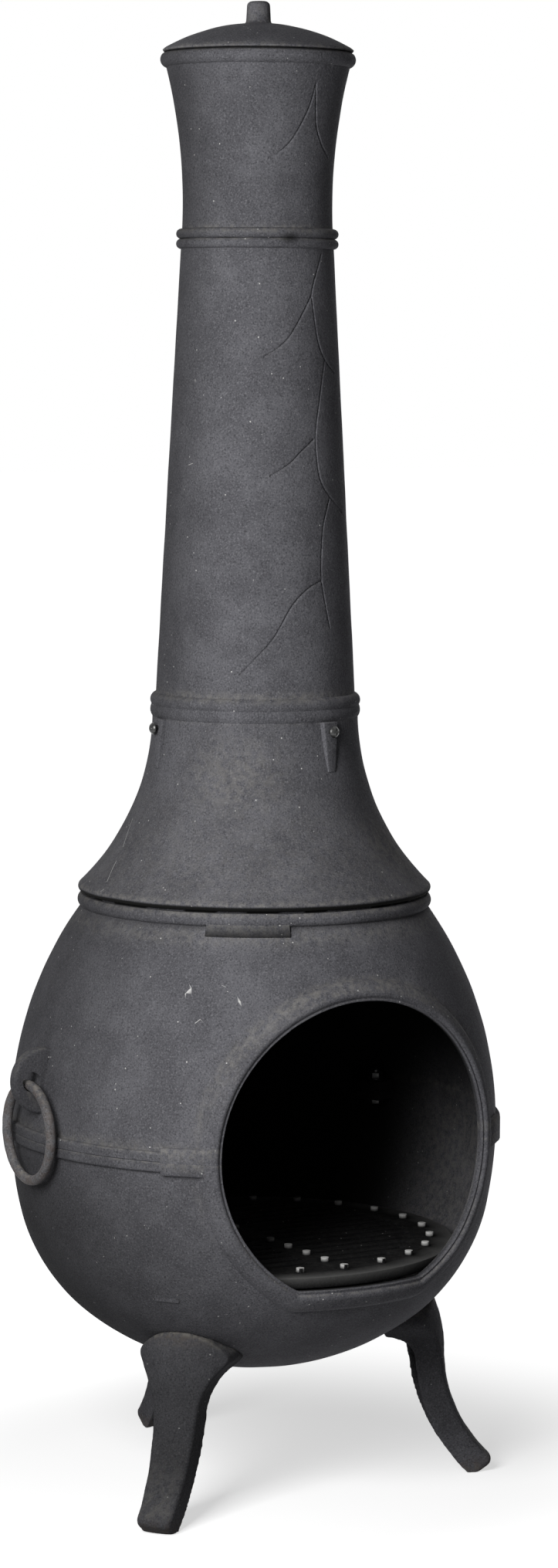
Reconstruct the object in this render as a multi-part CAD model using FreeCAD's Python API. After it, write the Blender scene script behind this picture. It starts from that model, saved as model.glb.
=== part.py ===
import FreeCAD, Part
import math
import os

# A free-standing cast-iron garden fireplace: a two-part belly with a round mouth, a flared hood,
# a flue in two sections, a lift-off lid, a loose grate, two carrying rings and three channel legs.
# Millimetres. The floor is z = 0 and the mouth faces -Y. Shapes are drawn about the flue's axis, and
# moved at the end so that the origin is under the middle of the part, from front to back.
# A bearing is an angle about the flue's axis, counted from the mouth towards +X.

# Belly shell
SEAM_HEIGHT = 372.0
BELLY_RADIUS = 247.5
BELLY_WALL = 5.0
LOWER_SIDE_RADIUS = 400.0
LOWER_SIDE_DROP = 82.0
HAUNCH_RADIUS = 190.0
HAUNCH_END_TILT = 53.8
UPPER_SIDE_RADIUS = 381.0
UPPER_BOWL_HEIGHT = 235.0
SEAM_BEAD_HEIGHT = 10.0
SEAM_BEAD_PROUD = 4.5
SEAM_BEAD_ROUND = 2.5
RIM_BEAD_HEIGHT = 13.0
RIM_BEAD_PROUD = 3.4
RIM_LAND = 10.0

# Mouth in the front of the belly, with a flat sill and a raised collar
MOUTH_RADIUS = 150.0
MOUTH_CENTRE_RISE = 2.0
SILL_WIDTH = 139.0
MOUTH_CORNER_RADIUS = 14.0
COLLAR_WIDTH = 18.0
COLLAR_SILL_WIDTH = 24.0
COLLAR_PROUD = 7.0
COLLAR_ROUND = 5.0
COLLAR_LIP_WIDTH = 3.5
COLLAR_LIP_PROUD = 3.0

# Flat pads across the seam on each side of the mouth
SEAM_PAD_WIDTH = 47.0
SEAM_PAD_ABOVE = 15.0
SEAM_PAD_BELOW = 13.0
SEAM_PAD_PROUD = 5.4
SEAM_PAD_CHAMFER = 3.0
SEAM_PAD_OVERLAP = 11.0

# Lugs inside the belly that carry the seam bolts, at the back and on both sides
SEAM_BOLT_BEARING = 115.0
SEAM_LUG_WIDTH = 28.0
SEAM_LUG_HEIGHT = 10.0
GRATE_PASSAGE = 7.0

# Shallow pads under the belly's rim, and the hood's hold-down lugs behind them
RIM_PAD_WIDTH = 85.0
RIM_PAD_TOP_DROP = 10.0
RIM_PAD_HEIGHT = 12.0
RIM_PAD_PROUD = 2.0
HOOD_BOLT_BEARING = 88.0
HOOD_BOLT_COUNT = 3
HOOD_LUG_REACH = 25.0
HOOD_LUG_WIDTH = 30.0
HOOD_LUG_HEIGHT = 11.5
HOOD_LUG_GAP = 0.5

# Ears and carrying rings at the sides
EAR_RISE = 61.0
EAR_RADIUS = 33.0
EAR_THICKNESS = 13.0
EAR_ROUND = 2.5
EYE_OFFSET = 14.5
EYE_PLAY = 5.0
RING_RADIUS = 47.5
RING_BAR_RADIUS = 5.0
RING_SEAT_GAP = 0.4

# Hood between belly and flue
HOOD_HEIGHT = 180.0
HOOD_WALL = 4.5
NECK_RADIUS = 104.0
NECK_LEAD = 5.0
HOOD_FOOT_INSET = 2.0
HOOD_RIM_HEIGHT = 10.0
HOOD_RIM_PROUD = 1.4
HOOD_SPIGOT_DEPTH = 12.0
HOOD_SPIGOT_WALL = 5.0
SPIGOT_CLEARANCE = 1.2

# Set screws through bosses in the hood's neck
NECK_FRONT_BEARING = 14.0
NECK_LEFT_BEARING = -94.0
NECK_SCREW_DROP = 9.5
NECK_BOSS_WIDTH = 20.0
NECK_BOSS_HEIGHT = 52.0
NECK_BOSS_PROUD = 4.5
SCREW_RADIUS = 3.0
SCREW_HEAD_RADIUS = 6.15
SCREW_HEAD_HEIGHT = 4.0
SCREW_STANDOUT = 5.0
SCREW_SLOT_WIDTH = 1.3
SCREW_SLOT_DEPTH = 1.6
SCREW_SLOT_LENGTH = 7.6
SCREW_HOLE_CLEARANCE = 0.15
SCREW_TIP_GAP = 0.05

# Lower flue section
LOWER_FLUE_HEIGHT = 478.0
FLUE_WALL = 4.5
FLUE_FOOT_STEP = 3.4
FLUE_TOP_RADIUS = 76.6
FOOT_BEAD_HEIGHT = 12.0
FOOT_BEAD_PROUD = 2.2
FOOT_GROOVE_PROUD = 0.9
FLUE_SPIGOT_DEPTH = 40.0
FLUE_SPIGOT_WALL = 5.0
JOINT_BEAD_HEIGHT = 10.0
JOINT_BEAD_PROUD = 4.8
JOINT_LIP = 0.9

# Upper flue section
UPPER_FLUE_HEIGHT = 184.0
WAIST_STEP = 1.7
WAIST_RISE = 35.0
FLARE_STEP = 16.7
UPPER_SPIGOT_DEPTH = 25.0
UPPER_SPIGOT_WALL = 4.0
TOP_RIM_HEIGHT = 14.5
TOP_RIM_PROUD = 6.1
TOP_RIM_LIP = 4.0

# Lid
LID_INSET = 2.4
LID_RISE = 26.0
LID_LIP = 3.2
LID_WALL = 4.0
LID_SKIRT_DEPTH = 12.0
LID_SKIRT_WALL = 4.0
LID_SKIRT_CLEARANCE = 1.7
LID_SEAT_GAP = 0.3
KNOB_FOOT_RADIUS = 12.3
KNOB_TOP_RADIUS = 11.5
KNOB_HEIGHT = 21.5
KNOB_ROUND = 5.0

# Grate
GRATE_RISE = 10.0
GRATE_RIM_HEIGHT = 11.0
GRATE_RIM_WIDTH = 14.0
GRATE_PLATE = 8.0
GRATE_EDGE_GAP = 10.0
GRATE_BAND = 40.0
GRATE_SPINE_WIDTH = 26.0
SLOT_WIDTH = 9.0
SLOT_PITCH = 20.0
STUD_RADIUS = 4.0
STUD_HEIGHT = 5.0
STUD_EDGE = 24.0
STUD_SPACING = 15.0
SPINE_STUD_PITCH = 36.0
LEDGE_REACH = 14.0
LEDGE_WIDTH = 26.0
LEDGE_HEIGHT = 14.0
GRATE_SEAT_GAP = 0.3

# Legs
LEFT_LEG_BEARING = -53.0
RIGHT_LEG_BEARING = 68.0
BACK_LEG_BEARING = 176.0
LEG_TOP_DROP = 182.0
LEG_RIM_DROP = 209.0
LEG_KNEE_DROP = 242.0
LEG_KNEE_STEP = 13.5
LEG_TOP_LIP = 3.5
LEG_DEPTH = 28.0
LEG_WALL = 5.0
LEG_RIM_WIDTH = 102.0
LEG_RIM_ROUND = 9.0
LEG_SHANK_WIDTH = 46.0
LEG_TOE_WIDTH = 35.0
LEG_FLARE_DROP = 272.0
LEG_GUSSET_RADIUS = 25.0
LEG_GUSSET_DROP = 5.0
LEG_FACE_ROUND = 52.0
LEG_EDGE_ROUND = 4.5
LEG_SEAT_GAP = 0.2
LEG_SEAT_WALL = 8.0
TOE_REACH = 47.8
TOE_HEIGHT = 18.0
TOE_NOSE = 2.5
TOE_NOSE_HEIGHT = 12.5
TOE_LIFT = 7.0
SOLE_LENGTH = 12.0
SOLE_THICKNESS = 10.0
SOLE_SPARE = 3.0

# Hexagon bolts, nuts and washers
BOLT_RADIUS = 4.0
BOLT_HOLE_CLEARANCE = 0.5
NUT_CLEARANCE = 0.05
HEX_ACROSS_FLATS = 13.0
HEAD_HEIGHT = 5.3
NUT_HEIGHT = 6.5
WASHER_RADIUS = 8.0
WASHER_HEIGHT = 1.6
BOLT_END = 3.0
BOLT_BOSS_RADIUS = 12.0
BOLT_BOSS_RISE = 3.0
LEG_BOSS_LENGTH = 11.0

Vector = FreeCAD.Vector
UP = Vector(0, 0, 1)
CENTRE = Vector(0, 0, 0)
TOLERANCE = 0.001


def chord_radius(sideways, lengthways):
    """Radius of the arc that leaves a tangent line and moves away sideways over a length."""
    return (sideways ** 2 + lengthways ** 2) / (2 * sideways)


def arc_height(radius, offset):
    """Height above the centre of a circle's point at an offset from the centre line."""
    return math.sqrt(radius ** 2 - offset ** 2)


# Levels and sizes that follow from the driving dimensions
RIM_Z = SEAM_HEIGHT + UPPER_BOWL_HEIGHT
NECK_Z = RIM_Z + HOOD_HEIGHT
JOINT_Z = NECK_Z + LOWER_FLUE_HEIGHT
FLUE_TOP_Z = JOINT_Z + UPPER_FLUE_HEIGHT
MOUTH_Z = SEAM_HEIGHT + MOUTH_CENTRE_RISE
SILL_Z = MOUTH_Z - arc_height(MOUTH_RADIUS, SILL_WIDTH / 2)
GRATE_TOP_Z = SILL_Z + GRATE_RISE
GRATE_FOOT_Z = GRATE_TOP_Z - GRATE_RIM_HEIGHT
BEAD_FACE = BELLY_RADIUS + SEAM_BEAD_PROUD
HOLE_RADIUS = BOLT_RADIUS + BOLT_HOLE_CLEARANCE
HEX_RADIUS = HEX_ACROSS_FLATS / math.sqrt(3)
EYE_RADIUS = RING_BAR_RADIUS + EYE_PLAY

# How far a joined feature reaches into the wall that carries it
ROOT = BELLY_WALL / 2

# Centres of the belly's three lower arcs, each tangent to the next, and of its upper arc
SIDE_TILT = math.asin(LOWER_SIDE_DROP / LOWER_SIDE_RADIUS)
HAUNCH_TILT = math.radians(HAUNCH_END_TILT)
SIDE_CENTRE = (BELLY_RADIUS - LOWER_SIDE_RADIUS, SEAM_HEIGHT)
SIDE_STEP = LOWER_SIDE_RADIUS - HAUNCH_RADIUS
HAUNCH_CENTRE = (
    SIDE_CENTRE[0] + SIDE_STEP * math.cos(SIDE_TILT),
    SIDE_CENTRE[1] - SIDE_STEP * math.sin(SIDE_TILT),
)
BOTTOM_STEP = HAUNCH_CENTRE[0] / math.cos(HAUNCH_TILT)
BOTTOM_RADIUS = HAUNCH_RADIUS + BOTTOM_STEP
BOTTOM_CENTRE = (0.0, HAUNCH_CENTRE[1] + BOTTOM_STEP * math.sin(HAUNCH_TILT))
UPPER_CENTRE = (BELLY_RADIUS - UPPER_SIDE_RADIUS, SEAM_HEIGHT)


def upper_belly_radius(z, inset=0.0):
    """Radius of the belly above the seam, at a depth inside its outer face."""
    return UPPER_CENTRE[0] + arc_height(UPPER_SIDE_RADIUS - inset, z - UPPER_CENTRE[1])


def lower_belly_radius(z, inset=0.0):
    """Radius of the belly below the seam, at a depth inside its outer face."""
    side_end = SIDE_CENTRE[1] - (LOWER_SIDE_RADIUS - inset) * math.sin(SIDE_TILT)
    haunch_end = HAUNCH_CENTRE[1] - (HAUNCH_RADIUS - inset) * math.sin(HAUNCH_TILT)
    if z >= side_end:
        return SIDE_CENTRE[0] + arc_height(LOWER_SIDE_RADIUS - inset, z - SIDE_CENTRE[1])
    if z >= haunch_end:
        return HAUNCH_CENTRE[0] + arc_height(HAUNCH_RADIUS - inset, z - HAUNCH_CENTRE[1])
    return arc_height(BOTTOM_RADIUS - inset, z - BOTTOM_CENTRE[1])


def belly_radius(z):
    """Radius of the belly's outer face at any height."""
    return upper_belly_radius(z) if z > SEAM_HEIGHT else lower_belly_radius(z)


RIM_FOOT_RADIUS = upper_belly_radius(RIM_Z - RIM_BEAD_HEIGHT)
RIM_RADIUS = RIM_FOOT_RADIUS + RIM_BEAD_PROUD
RIM_BORE = RIM_FOOT_RADIUS - RIM_LAND

# The hood's flare is one arc, tangent to the axis just above the neck
HOOD_FOOT_RADIUS = RIM_RADIUS - HOOD_FOOT_INSET
HOOD_TANGENT_Z = NECK_Z + NECK_LEAD
HOOD_FOOT_Z = RIM_Z + HOOD_RIM_HEIGHT
HOOD_ARC = chord_radius(HOOD_FOOT_RADIUS - NECK_RADIUS, HOOD_TANGENT_Z - HOOD_FOOT_Z)
HOOD_SPIGOT_RADIUS = RIM_BORE - SPIGOT_CLEARANCE
HOOD_SPIGOT_BORE = HOOD_SPIGOT_RADIUS - HOOD_SPIGOT_WALL


def hood_radius(z, inset=0.0):
    """Radius of the hood's flare at a depth inside its outer face."""
    return NECK_RADIUS + HOOD_ARC - arc_height(HOOD_ARC + inset, HOOD_TANGENT_Z - z)


NECK_BORE = hood_radius(NECK_Z, HOOD_WALL)
FLUE_SPIGOT_RADIUS = NECK_BORE - SPIGOT_CLEARANCE
FLUE_SPIGOT_BORE = FLUE_SPIGOT_RADIUS - FLUE_SPIGOT_WALL
FLUE_CONE_Z = NECK_Z + 2 * FOOT_BEAD_HEIGHT
FLUE_FOOT_RADIUS = NECK_RADIUS - FLUE_FOOT_STEP
JOINT_BEAD_Z = JOINT_Z - JOINT_BEAD_HEIGHT
JOINT_BORE = FLUE_TOP_RADIUS - FLUE_WALL
JOINT_RADIUS = FLUE_TOP_RADIUS + JOINT_BEAD_PROUD
UPPER_SPIGOT_RADIUS = JOINT_BORE - SPIGOT_CLEARANCE
UPPER_SPIGOT_BORE = UPPER_SPIGOT_RADIUS - UPPER_SPIGOT_WALL

# The upper flue's flare is one arc with its waist a little above the joint
WAIST_RADIUS = FLUE_TOP_RADIUS - WAIST_STEP
WAIST_Z = JOINT_Z + WAIST_RISE
FLARE_RADIUS = WAIST_RADIUS + FLARE_STEP
FLARE_Z = FLUE_TOP_Z - TOP_RIM_HEIGHT
FLARE_ARC = chord_radius(FLARE_RADIUS - WAIST_RADIUS, FLARE_Z - WAIST_Z)


def upper_flue_radius(z, inset=0.0):
    """Radius of the upper flue's flare at a depth inside its outer face."""
    return WAIST_RADIUS + FLARE_ARC - arc_height(FLARE_ARC + inset, z - WAIST_Z)


TOP_RIM_RADIUS = FLARE_RADIUS + TOP_RIM_PROUD
LID_Z = FLUE_TOP_Z + LID_SEAT_GAP
LID_RADIUS = TOP_RIM_RADIUS - LID_INSET
LID_SKIRT_RADIUS = upper_flue_radius(FLUE_TOP_Z - LID_SKIRT_DEPTH, FLUE_WALL) - LID_SKIRT_CLEARANCE
GRATE_RADIUS = lower_belly_radius(GRATE_FOOT_Z, BELLY_WALL) - GRATE_EDGE_GAP
SEAM_LUG_INNER = GRATE_RADIUS + GRATE_PASSAGE
SEAM_BOLT_CIRCLE = (SEAM_LUG_INNER + BELLY_RADIUS - BELLY_WALL) / 2
SEAM_PAD_BEARING = math.degrees(
    math.asin((MOUTH_RADIUS + COLLAR_WIDTH) / BELLY_RADIUS)
    + (SEAM_PAD_WIDTH / 2 - SEAM_PAD_OVERLAP) / BELLY_RADIUS
)
SEAM_BOLT_BEARINGS = [SEAM_BOLT_BEARING, 180, -SEAM_BOLT_BEARING]
LEG_BEARINGS = {
    "leg_front_left": LEFT_LEG_BEARING,
    "leg_front_right": RIGHT_LEG_BEARING,
    "leg_back": BACK_LEG_BEARING,
}
HOOD_BOLT_BEARINGS = [HOOD_BOLT_BEARING + n * 360 / HOOD_BOLT_COUNT for n in range(HOOD_BOLT_COUNT)]
HOOD_BOLT_CIRCLE = HOOD_SPIGOT_BORE - HOOD_LUG_REACH / 2
HOOD_LUG_Z = RIM_Z - HOOD_SPIGOT_DEPTH
NECK_BACK_BEARING = (NECK_FRONT_BEARING + NECK_LEFT_BEARING) / 2 + 180
NECK_BEARINGS = [NECK_FRONT_BEARING, NECK_BACK_BEARING, NECK_LEFT_BEARING]
NECK_SCREW_Z = NECK_Z - NECK_SCREW_DROP
NECK_BOSS_FACE = NECK_RADIUS + NECK_BOSS_PROUD
EYE_Z = SEAM_HEIGHT + EAR_RISE
EAR_CENTRE_RADIUS = upper_belly_radius(EYE_Z)
EYE_X = EAR_CENTRE_RADIUS + EYE_OFFSET
RING_SAG = RING_RADIUS - arc_height(RING_RADIUS, EAR_THICKNESS / 2)
RING_PIVOT_Z = EYE_Z - (EYE_RADIUS - RING_BAR_RADIUS - RING_SAG - RING_SEAT_GAP)


class Outline:
    """A closed outline in the plane of the axis, drawn point by point as (radius, height)."""

    def __init__(self, radius, height):
        self.start = Vector(radius, 0, height)
        self.here = self.start
        self.edges = []

    def line(self, radius, height):
        """Draw a straight edge to a point."""
        there = Vector(radius, 0, height)
        self.edges.append(Part.LineSegment(self.here, there).toShape())
        self.here = there
        return self

    def arc(self, middle, end):
        """Draw an arc through one point to another."""
        there = Vector(end[0], 0, end[1])
        self.edges.append(Part.Arc(self.here, Vector(middle[0], 0, middle[1]), there).toShape())
        self.here = there
        return self

    def arc_about(self, centre, radius, tilt):
        """Draw an arc about a centre to a tilt in radians above the level."""
        begin = math.atan2(self.here.z - centre[1], self.here.x - centre[0])
        points = []
        for angle in ((begin + tilt) / 2, tilt):
            points.append((centre[0] + radius * math.cos(angle), centre[1] + radius * math.sin(angle)))
        return self.arc(points[0], points[1])

    def face(self):
        """Close the outline and give the face inside it."""
        if self.here.distanceToPoint(self.start) > TOLERANCE:
            self.line(self.start.x, self.start.z)
        return Part.Face(Part.Wire(self.edges))

    def turned(self):
        """Give the solid of revolution about the axis."""
        return self.face().revolve(CENTRE, UP, 360)


def at_bearing(shape, bearing):
    """Turn a shape that is drawn along +X to a bearing about the axis."""
    turned = shape.copy()
    turned.rotate(CENTRE, UP, bearing - 90)
    return turned


def at_each(shape, bearings):
    """Copies of a shape that is drawn along +X, one at each bearing."""
    return [at_bearing(shape, bearing) for bearing in bearings]


def radial_block(inner, outer, width, low, high):
    """A block that lies along +X, centred across it."""
    return Part.makeBox(outer - inner, width, high - low, Vector(inner, -width / 2, low))


def rod(radius, start, end):
    """A round rod from one point to another."""
    return Part.makeCylinder(radius, (end - start).Length, start, end - start)


def hexagon(height):
    """A hexagon prism that stands on the origin."""
    corners = []
    for step in range(7):
        angle = math.radians(60 * step)
        corners.append(Vector(HEX_RADIUS * math.cos(angle), HEX_RADIUS * math.sin(angle), 0))
    return Part.Face(Part.makePolygon(corners)).extrude(Vector(0, 0, height))


def hex_bolt(grip):
    """A bolt with its head below the origin and its shank up through a grip and a nut."""
    head = hexagon(HEAD_HEIGHT)
    head.translate(Vector(0, 0, -HEAD_HEIGHT))
    length = grip + NUT_HEIGHT + BOLT_END
    return head.fuse(Part.makeCylinder(BOLT_RADIUS, length + ROOT, Vector(0, 0, -ROOT))).removeSplitter()


def hex_nut():
    """A nut that stands on the origin."""
    bore = Part.makeCylinder(BOLT_RADIUS + NUT_CLEARANCE, NUT_HEIGHT)
    return hexagon(NUT_HEIGHT).cut(bore)


def washer():
    """A flat washer that stands on the origin."""
    disc = Part.makeCylinder(WASHER_RADIUS, WASHER_HEIGHT)
    return disc.cut(Part.makeCylinder(HOLE_RADIUS, WASHER_HEIGHT))


def belly_fill(inset):
    """The whole belly, bottom to rim, as a full solid at a depth inside its outer face."""
    outline = Outline(0, BOTTOM_CENTRE[1] - BOTTOM_RADIUS + inset)
    outline.arc_about(BOTTOM_CENTRE, BOTTOM_RADIUS - inset, -HAUNCH_TILT)
    outline.arc_about(HAUNCH_CENTRE, HAUNCH_RADIUS - inset, -SIDE_TILT)
    outline.arc_about(SIDE_CENTRE, LOWER_SIDE_RADIUS - inset, 0)
    middle = (SEAM_HEIGHT + RIM_Z) / 2
    outline.arc((upper_belly_radius(middle, inset), middle), (upper_belly_radius(RIM_Z, inset), RIM_Z))
    return outline.line(0, RIM_Z).turned()


def lower_shell():
    """The lower half of the belly as a plain shell with its seam bead."""
    bead_foot = SEAM_HEIGHT - SEAM_BEAD_HEIGHT
    bead_tilt = -math.asin(SEAM_BEAD_HEIGHT / LOWER_SIDE_RADIUS)
    slant = SEAM_BEAD_ROUND * (1 - math.cos(math.pi / 4))
    outline = Outline(0, BOTTOM_CENTRE[1] - BOTTOM_RADIUS)
    outline.arc_about(BOTTOM_CENTRE, BOTTOM_RADIUS, -HAUNCH_TILT)
    outline.arc_about(HAUNCH_CENTRE, HAUNCH_RADIUS, -SIDE_TILT)
    outline.arc_about(SIDE_CENTRE, LOWER_SIDE_RADIUS, bead_tilt)
    outline.line(BEAD_FACE - SEAM_BEAD_ROUND, bead_foot)
    outline.arc((BEAD_FACE - slant, bead_foot + slant), (BEAD_FACE, bead_foot + SEAM_BEAD_ROUND))
    outline.line(BEAD_FACE, SEAM_HEIGHT).line(BELLY_RADIUS - BELLY_WALL, SEAM_HEIGHT)
    outline.arc_about(SIDE_CENTRE, LOWER_SIDE_RADIUS - BELLY_WALL, -SIDE_TILT)
    outline.arc_about(HAUNCH_CENTRE, HAUNCH_RADIUS - BELLY_WALL, -HAUNCH_TILT)
    outline.arc_about(BOTTOM_CENTRE, BOTTOM_RADIUS - BELLY_WALL, -math.pi / 2)
    return outline.turned()


def upper_shell():
    """The upper half of the belly as a plain shell with its seam bead and its rim."""
    bead_top = SEAM_HEIGHT + SEAM_BEAD_HEIGHT
    slant = SEAM_BEAD_ROUND * (1 - math.cos(math.pi / 4))
    rim_foot = RIM_Z - RIM_BEAD_HEIGHT
    middle = (bead_top + rim_foot) / 2
    inner_arc = UPPER_SIDE_RADIUS - BELLY_WALL
    bore_foot = SEAM_HEIGHT + arc_height(inner_arc, RIM_BORE - UPPER_CENTRE[0])
    outline = Outline(BELLY_RADIUS - BELLY_WALL, SEAM_HEIGHT).line(BEAD_FACE, SEAM_HEIGHT)
    outline.line(BEAD_FACE, bead_top - SEAM_BEAD_ROUND)
    outline.arc((BEAD_FACE - slant, bead_top - slant), (BEAD_FACE - SEAM_BEAD_ROUND, bead_top))
    outline.line(upper_belly_radius(bead_top), bead_top)
    outline.arc((upper_belly_radius(middle), middle), (RIM_FOOT_RADIUS, rim_foot))
    outline.arc((RIM_RADIUS, rim_foot + RIM_BEAD_HEIGHT / 2), (RIM_FOOT_RADIUS, RIM_Z))
    outline.line(RIM_BORE, RIM_Z).line(RIM_BORE, bore_foot)
    outline.arc_about(UPPER_CENTRE, inner_arc, 0)
    return outline.turned()


def mouth_prism(growth, sill_growth):
    """The mouth's outline, grown by a margin, run back from the front to the axis."""
    radius = MOUTH_RADIUS + growth
    sill = SILL_Z - sill_growth
    corner = MOUTH_CORNER_RADIUS + growth
    corner_z = sill + corner
    reach = radius - corner
    corner_x = arc_height(reach, MOUTH_Z - corner_z)
    tilt = math.atan2(corner_z - MOUTH_Z, corner_x)
    side = (radius * math.cos(tilt), MOUTH_Z + radius * math.sin(tilt))
    halfway = (tilt - math.pi / 2) / 2
    bend = (corner_x + corner * math.cos(halfway), corner_z + corner * math.sin(halfway))
    outline = Outline(-corner_x, sill).line(corner_x, sill).arc(bend, side)
    outline.arc((0, MOUTH_Z + radius), (-side[0], side[1])).arc((-bend[0], bend[1]), (-corner_x, sill))
    depth = BELLY_RADIUS + COLLAR_PROUD + SEAM_BEAD_PROUD + ROOT
    return outline.face().extrude(Vector(0, -depth, 0))


def mouth_opening():
    """The mouth, and the step round it that leaves the collar a lower inner lip."""
    step = mouth_prism(COLLAR_LIP_WIDTH, COLLAR_LIP_WIDTH).cut(belly_fill(-COLLAR_LIP_PROUD))
    return mouth_prism(0, 0).fuse(step)


def below_seam(shape):
    """The stretch of a shape that lies below the seam."""
    size = 4 * BELLY_RADIUS
    return shape.common(Part.makeBox(size, size, size, Vector(-size / 2, -size / 2, SEAM_HEIGHT - size)))


def above_seam(shape):
    """The stretch of a shape that lies above the seam."""
    size = 4 * BELLY_RADIUS
    return shape.common(Part.makeBox(size, size, size, Vector(-size / 2, -size / 2, SEAM_HEIGHT)))


def mouth_collar(stretch):
    """The raised band round the mouth on one side of the seam, with a rounded outer edge."""
    band = belly_fill(-COLLAR_PROUD).cut(belly_fill(ROOT))
    band = stretch(band.common(mouth_prism(COLLAR_WIDTH, COLLAR_SILL_WIDTH)).removeSplitter())
    outer = []
    for edge in band.Edges:
        point = edge.valueAt((edge.FirstParameter + edge.LastParameter) / 2)
        proud = math.hypot(point.x, point.y) - belly_radius(point.z)
        if proud > COLLAR_PROUD / 2 and abs(point.z - SEAM_HEIGHT) > ROOT:
            outer.append(edge)
    return band.makeFillet(COLLAR_ROUND, outer)


def seam_pad():
    """A flat chamfered pad across the seam, drawn along +X."""
    face = BELLY_RADIUS + SEAM_PAD_PROUD
    low = SEAM_HEIGHT - SEAM_PAD_BELOW
    high = SEAM_HEIGHT + SEAM_PAD_ABOVE
    block = radial_block(BELLY_RADIUS - ROOT, face, SEAM_PAD_WIDTH, low, high)
    front = [edge for edge in block.Edges if all(point.X > face - TOLERANCE for point in edge.Vertexes)]
    return block.makeChamfer(SEAM_PAD_CHAMFER, front)


def upright_holes(circle, bearings, low, high):
    """Upright bolt holes on a circle about the axis."""
    hole = Part.makeCylinder(HOLE_RADIUS, high - low, Vector(circle, 0, low))
    return at_each(hole, bearings)


LEG_BOLT_OUT = Vector(math.cos(HAUNCH_TILT), 0, -math.sin(HAUNCH_TILT))
LEG_BOLT_POINT = Vector(HAUNCH_CENTRE[0], 0, HAUNCH_CENTRE[1]) + LEG_BOLT_OUT * HAUNCH_RADIUS


def along_leg_bolt(distance):
    """A point on the leg bolt's axis, at a distance outside the belly's outer face."""
    return LEG_BOLT_POINT + LEG_BOLT_OUT * distance


def on_leg_bolt(shape, distance):
    """A shape drawn up from the origin, set on the leg bolt's axis."""
    placed = shape.copy()
    placed.Placement = FreeCAD.Placement(along_leg_bolt(distance), FreeCAD.Rotation(UP, LEG_BOLT_OUT))
    return placed


def lower_bowl():
    """The lower half of the belly with its lugs, grate ledges and leg bolt bosses."""
    bounds = belly_fill(ROOT)
    lug_foot = SEAM_HEIGHT - SEAM_LUG_HEIGHT
    lug = radial_block(SEAM_LUG_INNER, BELLY_RADIUS, SEAM_LUG_WIDTH, lug_foot, SEAM_HEIGHT)
    ledge_inner = GRATE_RADIUS - LEDGE_REACH
    ledge_top = GRATE_FOOT_Z - GRATE_SEAT_GAP
    ledge = radial_block(ledge_inner, BELLY_RADIUS, LEDGE_WIDTH, ledge_top - LEDGE_HEIGHT, ledge_top)
    boss = rod(BOLT_BOSS_RADIUS, along_leg_bolt(-BELLY_WALL - BOLT_BOSS_RISE), along_leg_bolt(-ROOT))
    hole_start = along_leg_bolt(-2 * BELLY_WALL - BOLT_BOSS_RISE)
    leg_hole = rod(HOLE_RADIUS, hole_start, along_leg_bolt(BELLY_WALL))
    inner_pieces = at_each(lug.common(bounds), SEAM_BOLT_BEARINGS)
    inner_pieces += at_each(ledge.common(bounds), LEG_BEARINGS.values())
    inner_pieces += at_each(boss, LEG_BEARINGS.values())
    outer_pieces = [mouth_collar(below_seam)]
    outer_pieces += at_each(below_seam(seam_pad()), [SEAM_PAD_BEARING, -SEAM_PAD_BEARING])
    bowl = lower_shell().multiFuse(inner_pieces + outer_pieces)
    cuts = [mouth_opening()]
    cuts += upright_holes(SEAM_BOLT_CIRCLE, SEAM_BOLT_BEARINGS, lug_foot - ROOT, SEAM_HEIGHT)
    cuts += at_each(leg_hole, LEG_BEARINGS.values())
    return bowl.cut(cuts).removeSplitter()


def rim_pad():
    """A shallow pad under the belly's rim, curved with it, drawn along +X."""
    high = RIM_Z - RIM_PAD_TOP_DROP
    low = high - RIM_PAD_HEIGHT
    foot = upper_belly_radius(low)
    outline = Outline(foot - ROOT, low).line(foot + RIM_PAD_PROUD, low)
    outline.line(RIM_FOOT_RADIUS + RIM_PAD_PROUD, high).line(RIM_FOOT_RADIUS - ROOT, high)
    sweep = math.degrees(RIM_PAD_WIDTH / foot)
    pad = outline.face().revolve(CENTRE, UP, sweep)
    pad.rotate(CENTRE, UP, -sweep / 2)
    return pad


def ear():
    """A round ear with its eye, drawn along +X."""
    start = Vector(EAR_CENTRE_RADIUS, -EAR_THICKNESS / 2, EYE_Z)
    disc = Part.makeCylinder(EAR_RADIUS, EAR_THICKNESS, start, Vector(0, 1, 0))
    rims = [edge for edge in disc.Edges if isinstance(edge.Curve, Part.Circle)]
    disc = disc.makeFillet(EAR_ROUND, rims)
    eye_start = Vector(EYE_X, -EAR_THICKNESS, EYE_Z)
    eye = Part.makeCylinder(EYE_RADIUS, 2 * EAR_THICKNESS, eye_start, Vector(0, 1, 0))
    return disc.cut([eye, belly_fill(ROOT)])


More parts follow.
